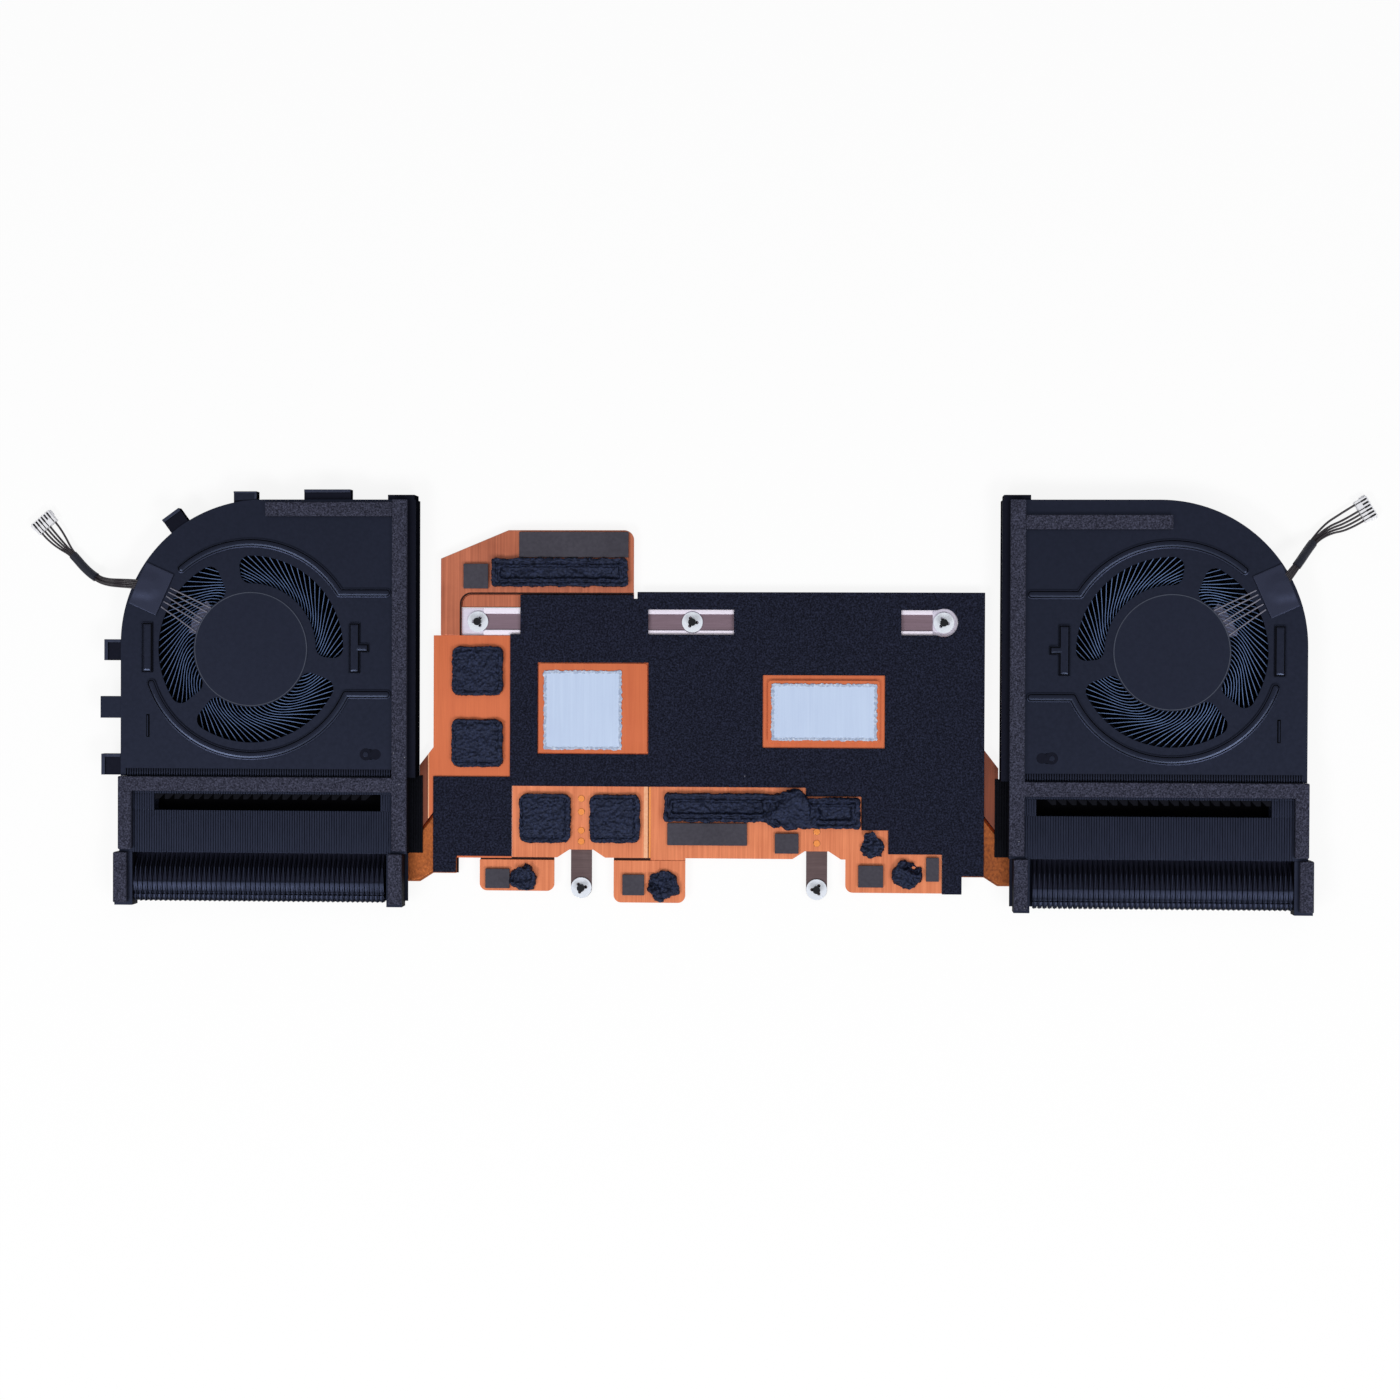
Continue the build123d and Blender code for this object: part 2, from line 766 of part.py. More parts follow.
def heat_pipe():
    """Flattened heat pipe on the right: from beside the spreader, with a jog, along under the fins."""
    end = hub_x - fin_from
    upper = tongue_lower - solder_gap
    jog_end = spreader_half + tongue_jog_run
    upper_out = tongue_lower - tongue_jog - solder_gap
    sketch = outline(
        (wing_inner + solder_gap, upper), (spreader_half - solder_gap, upper), (jog_end, upper_out),
        (end, upper_out), (end, pipe_lower - pipe_drop), (jog_end, pipe_lower - pipe_drop),
        (spreader_half, pipe_lower), (wing_inner + solder_gap, pipe_lower),
    )
    body = slab(sketch, spreader_lift, spreader_z)
    rims = body.faces().sort_by(Axis.Z)[0].edges() + body.faces().sort_by(Axis.Z)[-1].edges()
    return chamfer(rims, pipe_edge)


def upper_copper_plate():
    """Plate above the spreader, with a stepped recess beside the end of the spring bar."""
    points = (
        (upper_left, spreader_top), (upper_left, upper_top - upper_chamfer_y),
        (upper_left + upper_chamfer_x, upper_top), (upper_right, upper_top), (upper_right, upper_inner),
        (recess_from, upper_inner), (recess_from, spreader_top),
    )
    sketch = outline(*points)
    corner = sketch.vertices().sort_by_distance((upper_right, upper_top))[0]
    hollow = sketch.vertices().sort_by_distance((recess_from, upper_inner))[0]
    sketch = fillet([corner, hollow], upper_corner)
    bar_edge = spreader_top + bar_height + bar_side_gap
    floor = rect(recess_from - recess_overlap, bar_edge, upper_right, upper_inner + recess_overlap)
    low = upper_z - copper_t
    return slab(sketch, low, upper_z) + slab(floor, low - copper_t, low)


def arm_notch(x):
    """Flared notch in the lower edge of the plate, over a spring arm."""
    half = arm_width / 2 + arm_notch_flat
    top = lower_edge + arm_notch_depth
    return outline(
        (x - half - arm_notch_flare, lower_edge), (x - half, top), (x + half, top),
        (x + half + arm_notch_flare, lower_edge),
    )


def plate_tab(x0, x1, low):
    """Tab below the lower edge of the plate, with its two free corners rounded."""
    tab = rect(x0, low, x1, lower_edge - tab_groove)
    return fillet(tab.vertices().group_by(Axis.Y)[0], lower_corner)


def rivet_holes():
    """Holes for the rivets of both arms."""
    spots = [(arm_left, y) for y in arm_rivet_ys] + [(arm_right, y) for y in right_rivet_ys]
    return [Pos(*spot) * Circle(rivet_r) for spot in spots]


def lower_copper_plate():
    """Plate below the spreader: a raised left part, a joggle and a right part with a wing."""
    top = spreader_bottom
    left = rect(lower_left, lower_edge, joggle_x, top) - arm_notch(arm_left)
    left += plate_tab(*left_tab) + plate_tab(*middle_tab)
    groove_floor = rect(lower_left, lower_edge - tab_groove, left_tab[1], lower_edge)
    groove_floor += rect(middle_tab[0], lower_edge - tab_groove, joggle_x, lower_edge)
    right_from = joggle_x + joggle_run
    right = rect(right_from, lower_edge, lower_right, top) - arm_notch(arm_right)
    wing = rect(lower_wing_from, lower_wing_edge, lower_right, lower_edge)
    wing_corner = wing.vertices().sort_by_distance((lower_wing_from, lower_wing_edge))[0]
    right += fillet(wing_corner, lower_corner)
    right += rect(right_from, lower_edge - tab_groove, middle_tab[1], lower_edge)
    low_left = lower_left_z - copper_t
    low_right = lower_right_z - copper_t
    joggle = make_face(Polyline(
        (joggle_x, top, low_left), (joggle_x, top, lower_left_z), (right_from, top, lower_right_z),
        (right_from, top, low_right), close=True))
    body = slab(left - rivet_holes(), low_left, lower_left_z)
    body += slab(groove_floor, low_left, lower_left_z - tab_groove_depth)
    body += slab(right - rivet_holes(), low_right, lower_right_z)
    return body + extrude(joggle, top - lower_edge, dir=(0, -1, 0))


def insulation_sheet():
    """Foam sheet over the spreader, cut out round the lands, the bar and the putty."""
    (step_x, step_y), (mid_x, mid_y), (far_x, far_y) = sheet_right_edges
    notch_y = upper_inner - bar_side_gap - sheet_notch
    sketch = outline(
        (sheet_upper_left, upper_inner - bar_side_gap), (upper_right, upper_inner - bar_side_gap),
        (upper_right, notch_y), (sheet_upper_right, notch_y), (sheet_upper_right, sheet_top),
        (spreader_half, sheet_top), (spreader_half, sheet_foot), (sheet_right_foot_to, sheet_foot),
        (sheet_right_foot_to, sheet_right_foot), (sheet_right_foot_from, sheet_right_foot),
        (sheet_right_foot_from, far_y), (far_x, far_y), (far_x, mid_y), (mid_x, mid_y), (mid_x, step_y),
        (step_x, step_y), (step_x, spreader_bottom), (-wing_left, spreader_bottom),
        (-wing_left, wing_floor), (sheet_foot_in - spreader_half, wing_floor),
        (sheet_foot_in - spreader_half, sheet_foot), (-spreader_half, sheet_foot),
        (-spreader_half, sheet_left_window), (sheet_left_column, sheet_left_window),
        (sheet_left_column, sheet_column_top), (sheet_upper_left, sheet_column_top),
    )
    for place, margin in ((gpu_land, land_gap), (cpu_land, cpu_window_margin)):
        x, y, width, length = place
        sketch -= Pos(x, y) * Rectangle(width + 2 * margin, length + 2 * margin)
    low, high = bar_y - bar_window_half, bar_y + bar_window_half
    sketch -= rect(middle_window[0], low, middle_window[1], high)
    sketch -= rect(bar_right - right_window_length, low, bar_screws[-1], high)
    sketch -= Pos(bar_screws[-1], bar_y) * Circle(right_window_r)
    return slab(sketch, spreader_z, sheet_z)


def paste(place, height):
    """Printed layer of thermal paste on a land."""
    x, y, width, length = place
    top = spreader_z + height
    return slab(Pos(x, y) * RectangleRounded(width, length, land_corner), top, top + paste_t)


# Spring bar, arms and fasteners


def spring_bar():
    """Spring bar along the top of the spreader: flat end pads and two ribs between them."""
    sketch = soft_rect(bar_left, spreader_top, bar_right, spreader_top + bar_height, bar_corner)
    sketch -= [Pos(x, bar_y) * Circle(screw_r + screw_hole_clearance) for x in bar_screws]
    body = slab(sketch, bar_z - spring_t, bar_z)
    rib_low = spreader_top + bar_rib_width / 2
    rib_high = spreader_top + bar_height - bar_rib_width / 2
    for y in (rib_low, rib_high):
        rib = rect(bar_left + bar_pad, y - bar_rib_width / 2, bar_right - bar_pad, y + bar_rib_width / 2)
        rib -= [Pos(x, bar_y) * Circle(ring_r + ring_side_gap) for x in bar_screws]
        body += slab(rib, bar_z, bar_z + bar_rib_height)
    return body


def spring_arm(x, level, rivet_ys):
    """Spring arm riveted under the lower plate, with a round end about its screw."""
    start = (x, spreader_bottom - arm_start_gap - arm_width / 2)
    sketch = SlotArc(Line(start, (x, arm_screw_y)), arm_width)
    sketch -= Pos(x, arm_screw_y) * Circle(screw_r + screw_hole_clearance)
    sketch -= [Pos(x, y) * Circle(rivet_r) for y in rivet_ys]
    return slab(sketch, level - spring_t, level)


def arm_rivets():
    """Rivets through the lower plate and the arms."""
    rivets = []
    rows = ((arm_left, arm_rivet_ys, lower_left_z), (arm_right, right_rivet_ys, lower_right_z))
    for x, ys, top in rows:
        shank = slab(Circle(rivet_r), top - copper_t - spring_t, top)
        rivet = shank + slab(Circle(rivet_head_r), top, top + rivet_head_t)
        rivets += [Pos(x, y, 0) * rivet for y in ys]
    return Compound(rivets)


def screw_spots():
    """Place and carrier level of each captive screw."""
    spots = [(x, bar_y, bar_z) for x in bar_screws]
    return spots + [(arm_left, arm_screw_y, left_arm_z), (arm_right, arm_screw_y, right_arm_z)]


def captive_screws():
    """Five screws, heads towards the table, with a thin neck in the ring and the thread above it."""
    under = -spring_t - screw_play
    head = slab(Circle(screw_head_r), under - screw_head_t, under)
    drive = Rectangle(screw_drive_length, screw_drive_width)
    drive += Rectangle(screw_drive_width, screw_drive_length)
    head -= slab(drive, under - screw_head_t, under - screw_head_t + screw_drive_depth)
    thread_low = screw_play + ring_t + screw_play
    screw = head + slab(Circle(screw_neck_r), under, thread_low)
    screw += slab(Circle(screw_r), thread_low, screw_tip)
    return Compound([Pos(*spot) * screw for spot in screw_spots()])


def retaining_rings():
    """Lobed rings that keep the screws in their bar and arms."""
    sketch = Circle(ring_r) - Circle(screw_neck_r + ring_gap)
    for index in range(ring_lobes):
        sketch -= Pos(*on_circle(ring_lobe_at, 90 + 360 * index / ring_lobes)) * Circle(ring_lobe_r)
    ring = slab(sketch, screw_play, screw_play + ring_t)
    return Compound([Pos(*spot) * ring for spot in screw_spots()])


# Pads and putty


def pads():
    """Soft thermal pads on the copper plates."""
    groups = ((upper_pads, upper_z), (lower_left_pads, lower_left_z), (lower_right_pads, lower_right_z))
    return Compound([
        slab(rect(*box), level, level + pad_t) for boxes, level in groups for box in boxes])


def memory_putty():
    """Four soft squares of putty over the memory chips."""
    groups = ((column_putty, spreader_z), (lower_putty, lower_left_z))
    return Compound([
        slab(soft_rect(*box, putty_corner), level, level + putty_t) for boxes, level in groups
        for box in boxes])


def upper_putty_bead():
    """Long bead of putty on the upper plate."""
    return slab(soft_rect(*upper_bead_box, putty_corner), upper_z, upper_z + bead_t)


def lower_putty_bead():
    """Bead of putty on the lower plate, with a thick blob near its end."""
    x, y, radius = lower_bead_blob
    strip = soft_rect(*lower_bead_box, putty_corner) + soft_rect(*lower_bead_end, putty_corner)
    body = slab(strip, lower_right_z, lower_right_z + bead_t)
    return body + slab(Pos(x, y) * Circle(radius), lower_right_z, lower_right_z + bead_t + blob_extra)


def dab(x, y, radius, level):
    """Ragged dab of putty: a wavy outline."""
    points = []
    for index in range(2 * dab_points):
        wave = 1 + dab_wave * (-1) ** index
        along_x, along_y = on_circle(radius * wave, 180 * index / dab_points)
        points.append((x + along_x, y + along_y))
    return slab(outline(*points), level, level + putty_t)


def putty_dabs():
    """Four dabs of putty on the tabs and wing of the lower plate."""
    dabs = [dab(*left_dab, lower_left_z), dab(*middle_dab, lower_left_z)]
    return Compound(dabs + [dab(*place, lower_right_z) for place in wing_dabs])


def build():
    """All pieces by node name, in the module's own frame."""
    pieces = {
        "vapour_chamber": vapour_chamber(),
        "upper_copper_plate": upper_copper_plate(),
        "lower_copper_plate": lower_copper_plate(),
        "heat_pipe_left": mirror(heat_pipe(), about=Plane.YZ),
        "heat_pipe_right": heat_pipe(),
        "insulation_sheet": insulation_sheet(),
        "spring_bar": spring_bar(),
        "spring_arm_left": spring_arm(arm_left, left_arm_z, arm_rivet_ys),
        "spring_arm_right": spring_arm(arm_right, right_arm_z, right_rivet_ys),
        "arm_rivets": arm_rivets(),
        "captive_screws": captive_screws(),
        "retaining_rings": retaining_rings(),
        "gpu_paste": paste(gpu_paste, gpu_land_height),
        "cpu_paste": paste(cpu_paste, cpu_land_height),
        "thermal_pads": pads(),
        "memory_putty": memory_putty(),
        "upper_putty_bead": upper_putty_bead(),
        "lower_putty_bead": lower_putty_bead(),
        "putty_dabs": putty_dabs(),
    }
    twins = {
        "fan_base_plate": base_plate(),
        "fan_cover": cover(),
        "outlet_post": outlet_post(),
        "rotor_magnet": rotor_magnet(),
        "rotor_shaft": rotor_shaft(),
        "bearing_sleeve": bearing_sleeve(),
        "stator": stator(),
        "motor_board": motor_board(),
        "hub_label": hub_label(),
        "motor_leads": motor_leads(),
        "fin_stack": fin_stack(),
        "outlet_gasket": outlet_gasket(),
        "end_foam_blocks": end_blocks(),
    }
    for name, piece in twins.items():
        pieces[f"{name}_left"] = on_left(piece)
        pieces[f"{name}_right"] = on_right(piece)
    pieces["impeller_left"] = on_left(impeller(turn=1))
    pieces["impeller_right"] = Pos(hub_x, hub_y, 0) * impeller(turn=-1)
    pieces["fan_frame_left"] = on_left(frame(with_hooks=True))
    pieces["fan_frame_right"] = on_right(frame(with_hooks=False))
    pieces["intake_foam_left"] = on_left(intake_bar(left_bar_from, left_bar_drop))
    pieces["intake_foam_right"] = on_right(intake_bar(right_bar_from, right_bar_drop))
    cables = (("left", -1, left_route, left_sleeve_index), ("right", 1, right_route, right_sleeve_index))
    for side, outward, points, sleeve_index in cables:
        route = cable_points(points, outward)
        print(f"{side} cable radii", [round(radius, 1) for radius in corner_radii(route)])
        pieces[f"cable_tape_{side}"] = cable_tape(route, side == "left")
        pieces[f"fan_cable_{side}"] = cable(route)
        pieces[f"cable_sleeve_{side}"] = cable_sleeve(route, sleeve_index)
        pieces[f"fan_plug_{side}"] = plug(route)
    return pieces


def main():
    """Build every piece, centre the module over the origin and write one file for each piece."""
    os.makedirs("parts", exist_ok=True)
    pieces = build()
    loose = ("fan_cable", "cable_sleeve", "fan_plug")
    boxes = [piece.bounding_box() for name, piece in pieces.items() if not name.startswith(loose)]
    middle_x = (min(box.min.X for box in boxes) + max(box.max.X for box in boxes)) / 2
    middle_y = (min(box.min.Y for box in boxes) + max(box.max.Y for box in boxes)) / 2
    print(f"shift to the origin: {-middle_x:.3f}, {-middle_y:.3f}")
    for name, piece in pieces.items():
        export_step(Pos(-middle_x, -middle_y, 0) * piece, f"parts/{name}.step")


main()
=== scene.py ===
"""Looks of a dual-fan laptop cooling module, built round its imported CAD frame.

Sizes in the classes are millimetres. Meshes are in metres, in the frame's own axes: +X from the left fan
to the right one, +Y from the fin banks to the fans, +Z up out of the board side.
"""
from __future__ import annotations

import logging
import math
from collections.abc import Callable, Iterator, Sequence
from contextlib import contextmanager
from dataclasses import dataclass
from enum import Enum

import bmesh
import bpy
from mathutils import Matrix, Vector

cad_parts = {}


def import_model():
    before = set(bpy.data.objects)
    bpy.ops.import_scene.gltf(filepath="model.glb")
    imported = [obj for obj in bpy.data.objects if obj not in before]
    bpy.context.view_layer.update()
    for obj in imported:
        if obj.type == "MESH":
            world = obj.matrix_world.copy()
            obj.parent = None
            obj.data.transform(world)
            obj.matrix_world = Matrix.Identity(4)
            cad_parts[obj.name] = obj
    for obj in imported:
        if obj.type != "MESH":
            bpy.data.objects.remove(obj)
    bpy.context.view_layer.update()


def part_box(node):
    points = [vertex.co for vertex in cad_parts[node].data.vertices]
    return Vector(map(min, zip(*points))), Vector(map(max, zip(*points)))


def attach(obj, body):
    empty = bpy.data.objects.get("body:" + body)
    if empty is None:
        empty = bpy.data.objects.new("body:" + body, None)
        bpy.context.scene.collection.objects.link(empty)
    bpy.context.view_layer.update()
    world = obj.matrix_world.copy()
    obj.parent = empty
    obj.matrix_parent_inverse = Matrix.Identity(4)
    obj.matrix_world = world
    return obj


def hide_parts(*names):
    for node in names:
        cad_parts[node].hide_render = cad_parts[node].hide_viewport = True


LOG = logging.getLogger("cooling_module")
MODULE = "module"
PRINCIPLED = "Principled BSDF"
MM = 0.001
HAIR = 1e-5  # slack in metres when places are compared
WHITE = (1, 1, 1, 1)
EVEN = (1, 1, 1)  # stretch or tint that changes nothing
MIDDLE = (0.3, 0.7)  # range in which most of a noise lies
CLOUD = 22  # size of a finish's clouds against its grain
SQUARE = 0.9  # least part of a normal along the way that its face looks
STEEP = 0.3  # least part of a normal along the way that its face leans
Item = bpy.types.Object
Socket = bpy.types.NodeSocket
Pair = tuple[float, float]
Triple = tuple[float, float, float]
Quad = tuple[float, float, float, float]


class Pick(Enum):
    """Kind of mesh element that a selection holds."""

    CORNERS = "VERT"
    EDGES = "EDGE"
    FACES = "FACE"


class Side(Enum):
    """One of the two mirrored fans."""

    LEFT = "left"
    RIGHT = "right"

    @property
    def inward(self) -> int:
        """Sign of the way from the hub to the middle of the module."""
        return 1 if self is Side.LEFT else -1

    def node(self, base: str) -> str:
        """Name of this side's node of a kind."""
        return f"{base}_{self.value}"

    def hub(self) -> Vector:
        """Middle of the hub, in millimetres, at Z = 0.

        Returns:
            The point.
        """
        low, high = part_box(self.node("rotor_shaft"))
        middle = (low + high) / (2 * MM)
        return Vector((middle.x, middle.y, 0))


# Modelling steps


def put_down() -> None:
    """Leave edit mode and deselect every object."""
    if bpy.context.object is not None and bpy.context.object.mode != "OBJECT":
        bpy.ops.object.mode_set(mode="OBJECT")
    bpy.ops.object.select_all(action="DESELECT")


def pick_up(*items: Item) -> None:
    """Select some objects alone.

    Args:
        items: The objects. The first of them becomes active.
    """
    put_down()
    for item in items:
        item.select_set(True)
    bpy.context.view_layer.objects.active = items[0]


@contextmanager
def editing(item: Item) -> Iterator[None]:
    """Edit mode on one object, with nothing selected at first.

    Args:
        item: The object.
    """
    pick_up(item)
    bpy.ops.object.mode_set(mode="EDIT")
    bpy.ops.mesh.select_all(action="DESELECT")
    yield
    bpy.ops.object.mode_set(mode="OBJECT")


def choose_all() -> None:
    """Select the whole mesh in edit mode."""
    bpy.ops.mesh.select_all(action="SELECT")


def choose(kind: Pick, test: Callable[..., bool]) -> None:
    """Select the elements of the mesh in edit mode that pass a test.

    Args:
        kind: Whether corners, edges or faces are looked at.
        test: Says of one element whether it is selected.
    """
    bpy.ops.mesh.select_mode(type=kind.value)
    bpy.ops.mesh.select_all(action="DESELECT")
    mesh = bpy.context.edit_object.data
    whole = bmesh.from_edit_mesh(mesh)
    rows = {Pick.CORNERS: whole.verts, Pick.EDGES: whole.edges, Pick.FACES: whole.faces}
    for element in rows[kind]:
        element.select_set(bool(test(element)))
    whole.select_flush_mode()
    bmesh.update_edit_mesh(mesh)


def spot(face: bmesh.types.BMFace) -> Vector:
    """Middle of a face, in metres."""
    return face.calc_center_median()


def faces_up(face: bmesh.types.BMFace) -> bool:
    """Whether a face looks up."""
    return face.normal.z > SQUARE


def shift(x: float = 0, y: float = 0, z: float = 0) -> None:
    """Move the selection of a mesh by millimetres."""
    bpy.ops.transform.translate(value=(x * MM, y * MM, z * MM))


def pull(run: Sequence[float]) -> None:
    """Extrude the selection of a mesh along a run in millimetres."""
    bpy.ops.mesh.extrude_region_move(TRANSFORM_OT_translate={"value": [value * MM for value in run]})


def inset(width: float, depth: float = 0) -> None:
    """Inset the selected faces by a width and a depth in millimetres."""
    bpy.ops.mesh.inset(thickness=width * MM, depth=depth * MM)


def cut(place: Sequence[float], normal: Triple, **settings: bool) -> None:
    """Cut the mesh in edit mode along a plane through a place in metres."""
    choose_all()
    bpy.ops.mesh.bisect(plane_co=place, plane_no=normal, **settings)


def face_out() -> None:
    """Turn every face of the mesh in edit mode outwards."""
    choose_all()
    bpy.ops.mesh.normals_make_consistent(inside=False)


def settle(item: Item) -> Item:
    """Apply a piece's place, turn and size to its mesh."""
    pick_up(item)
    bpy.ops.object.transform_apply(location=True, rotation=True, scale=True)
    return item


def lay(item: Item, turn: float, place: Sequence[float]) -> Item:
    """Turn a piece about Z, move it and apply both to its mesh.

    Args:
        item: The piece.
        turn: Its turn in radians.
        place: Its place in metres.

    Returns:
        The same piece.
    """
    item.rotation_euler = (0, 0, turn)
    item.location = place
    return settle(item)


def block(name: str, low: Sequence[float], high: Sequence[float]) -> Item:
    """Start of a piece: a block between two corners.

    Args:
        name: Name of the new object.
        low: One corner in millimetres.
        high: The opposite corner in millimetres.

    Returns:
        The new object, with its place in its mesh.
    """
    put_down()
    middle = [(a + b) / 2 * MM for a, b in zip(low, high)]
    size = [abs(b - a) * MM for a, b in zip(low, high)]
    bpy.ops.mesh.primitive_cube_add(size=1, location=middle, scale=size)
    bpy.context.object.name = name
    return settle(bpy.context.object)


def disc(name: str, middle: Sequence[float], radius: float, height: float, sides: int) -> Item:
    """Start of a round piece: a cylinder that stands on a point.

    Args:
        name: Name of the new object.
        middle: Middle of its foot in millimetres.
        radius: Radius in millimetres.
        height: Height in millimetres.
        sides: Number of flat sides.

    Returns:
        The new object, with its place in its mesh.
    """
    put_down()
    place = [value * MM for value in middle]
    place[2] += height * MM / 2
    bpy.ops.mesh.primitive_cylinder_add(vertices=sides, radius=radius * MM, depth=height * MM, location=place)
    bpy.context.object.name = name
    return settle(bpy.context.object)


def sheet(name: str, size: Vector, cuts: Sequence[int]) -> Item:
    """Start of a thin piece: a flat grid about the origin.

    Args:
        name: Name of the new object.
        size: Length and width in metres.
        cuts: Number of faces along each.

    Returns:
        The new object, with its size not yet in its mesh.
    """
    put_down()
    bpy.ops.mesh.primitive_grid_add(x_subdivisions=cuts[0], y_subdivisions=cuts[1], size=1)
    item = bpy.context.object
    item.name = name
    item.scale = (size.x, size.y, 1)
    return item


def shape(item: Item, kind: str, **settings: object) -> Item:
    """Add one modifier to a piece and apply it.

    Args:
        item: The piece.
        kind: Blender's name for the modifier.
        settings: Its settings.

    Returns:
        The same piece.
    """
    pick_up(item)
    modifier = item.modifiers.new(kind, kind)
    for name, value in settings.items():
        setattr(modifier, name, value)
    bpy.ops.object.modifier_apply(modifier=modifier.name)
    return item


def ease(item: Item, width: float, segments: int = 2, angle: float = 30) -> Item:
    """Round the edges of a piece that are sharper than an angle, by a width in millimetres."""
    limit = math.radians(angle)
    return shape(item, "BEVEL", width=width * MM, segments=segments, limit_method="ANGLE", angle_limit=limit)


def repeat(item: Item, count: int, step: float) -> Item:
    """Copy a piece in a row along X, a step in millimetres apart."""
    return shape(item, "ARRAY", count=count, use_relative_offset=False, use_constant_offset=True,
                 constant_offset_displace=(step * MM, 0, 0))


def join(name: str, parts: Sequence[Item]) -> Item:
    """Make one object of several.

    Args:
        name: Name of the whole.
        parts: Its parts.

    Returns:
        The whole.
    """
    pick_up(*parts)
    if len(parts) > 1:
        bpy.ops.object.join()
    parts[0].name = name
    return parts[0]


def node_copy(node: str, name: str) -> Item:
    """Copy of a CAD node, with its loose triangles merged into whole faces.

    Args:
        node: Name of the CAD node.
        name: Name of the new object.

    Returns:
        The new object.
    """
    item = bpy.data.objects.new(name, bpy.data.objects[node].data.copy())
    bpy.context.scene.collection.objects.link(item)
    item.data.materials.clear()
    pick_up(item)
    bpy.ops.mesh.customdata_custom_splitnormals_clear()
    with editing(item):
        choose_all()
        bpy.ops.mesh.remove_doubles(threshold=1e-6)
        bpy.ops.mesh.dissolve_limited(angle_limit=math.radians(0.5))
    return item


def roughen(item: Item, grain: float, depth: float) -> None:
    """Push the skin of a piece in and out by clouds.

    Args:
        item: The piece.
        grain: Size of the clouds in millimetres.
        depth: Distance between the lowest and the highest skin in millimetres.
    """
    texture = bpy.data.textures.new("grain", "CLOUDS")
    texture.noise_scale = grain * MM
    shape(item, "DISPLACE", texture=texture, strength=depth * MM, mid_level=0.5)
    bpy.data.textures.remove(texture)


# Finishes


def tone(colour: Triple) -> Quad:
    """Linear colour with alpha from a screen colour of 0 to 255.

    Args:
        colour: Red, green and blue on the screen.

    Returns:
        Red, green, blue and alpha as shares of light.
    """
    shares = [value / 255 for value in colour]
    linear = [share / 12.92 if share <= 0.04045 else ((share + 0.055) / 1.055) ** 2.4 for share in shares]
    return linear[0], linear[1], linear[2], 1.0


class Graph:
    """Node tree of a material or a world, with short ways to add and join its nodes."""

    def __init__(self, owner: bpy.types.Material | bpy.types.World, shader: str) -> None:
        """Take up a tree.

        Args:
            owner: Material or world of the tree.
            shader: Name of the shader that the tree starts with.
        """
        owner.use_nodes = True
        self.tree = owner.node_tree
        self.shader = self.tree.nodes[shader]
        self.where = self.add("ShaderNodeTexCoord").outputs

    def add(self, kind: str, inputs: dict[object, object] | None = None, **settings: object) -> bpy.types.Node:
        """Add a node.

        Args:
            kind: Blender's name for the node.
            inputs: What feeds each of its sockets.
            settings: Settings of the node itself.

        Returns:
            The new node.
        """
        node = self.tree.nodes.new(kind)
        for name, value in settings.items():
            setattr(node, name, value)
        self.feed(inputs or {}, node)
        return node

    def feed(self, inputs: dict[object, object], node: bpy.types.Node | None = None) -> None:
        """Feed sockets of a node.

        Args:
            inputs: What feeds each of them: another socket or a plain value.
            node: The node, or None for the shader.
        """
        sockets = (self.shader if node is None else node).inputs
        for name, source in inputs.items():
            if isinstance(source, Socket):
                self.tree.links.new(source, sockets[name])
            else:
                sockets[name].default_value = source

    def spread(self, grain: float, stretch: Triple) -> dict[object, object]:
        """Inputs of a pattern of a grain in millimetres on the stretched object coordinates."""
        mapping = self.add("ShaderNodeMapping", {0: self.where["Object"], "Scale": stretch})
        return {"Vector": mapping.outputs[0], "Scale": 1 / (grain * MM)}

    def noise(self, grain: float, stretch: Triple = EVEN, detail: float = 3) -> Socket:
        """Noise whose spots are about a size in millimetres wide."""
        return self.add("ShaderNodeTexNoise", {**self.spread(grain, stretch), "Detail": detail}).outputs[0]

    def cells(self, grain: float, feature: str = "F1") -> bpy.types.Node:
        """Cells of a size in millimetres."""
        return self.add("ShaderNodeTexVoronoi", self.spread(grain, EVEN), feature=feature)

    def between(self, source: Socket, low: float, high: float, to_low: float = 0, to_high: float = 1) -> Socket:
        """Stretch a range of one value to another range, held at its ends."""
        return self.add("ShaderNodeMapRange", {0: source, 1: low, 2: high, 3: to_low, 4: to_high}).outputs[0]

    def math(self, operation: str, first: object, second: object) -> Socket:
        """One sum of two values."""
        return self.add("ShaderNodeMath", {0: first, 1: second}, operation=operation).outputs[0]

    def mix(self, share: object, first: object, second: object) -> Socket:
        """Mix of two colours."""
        return self.add("ShaderNodeMix", {0: share, 6: first, 7: second}, data_type="RGBA").outputs[2]

    def rays(self, *kinds: str) -> Socket:
        """Whether a ray is of one of some kinds.

        Args:
            kinds: Blender's names for the kinds.

        Returns:
            A socket that is 1 for such a ray and 0 for any other.
        """
        ways = self.add("ShaderNodeLightPath").outputs
        seen = 0.0
        for kind in kinds:
            seen = self.math("MAXIMUM", seen, ways[f"Is {kind} Ray"])
        return seen

    def relief(self, height: Socket, depth: float) -> None:
        """Bump the surface, on top of earlier bumps.

        Args:
            height: Height map.
            depth: Depth of the bumps in millimetres.
        """
        inputs = {"Height": height, "Distance": depth * MM, "Strength": 1.0}
        earlier = self.shader.inputs["Normal"]
        if earlier.is_linked:
            inputs["Normal"] = earlier.links[0].from_socket
        self.feed({"Normal": self.add("ShaderNodeBump", inputs).outputs[0]})


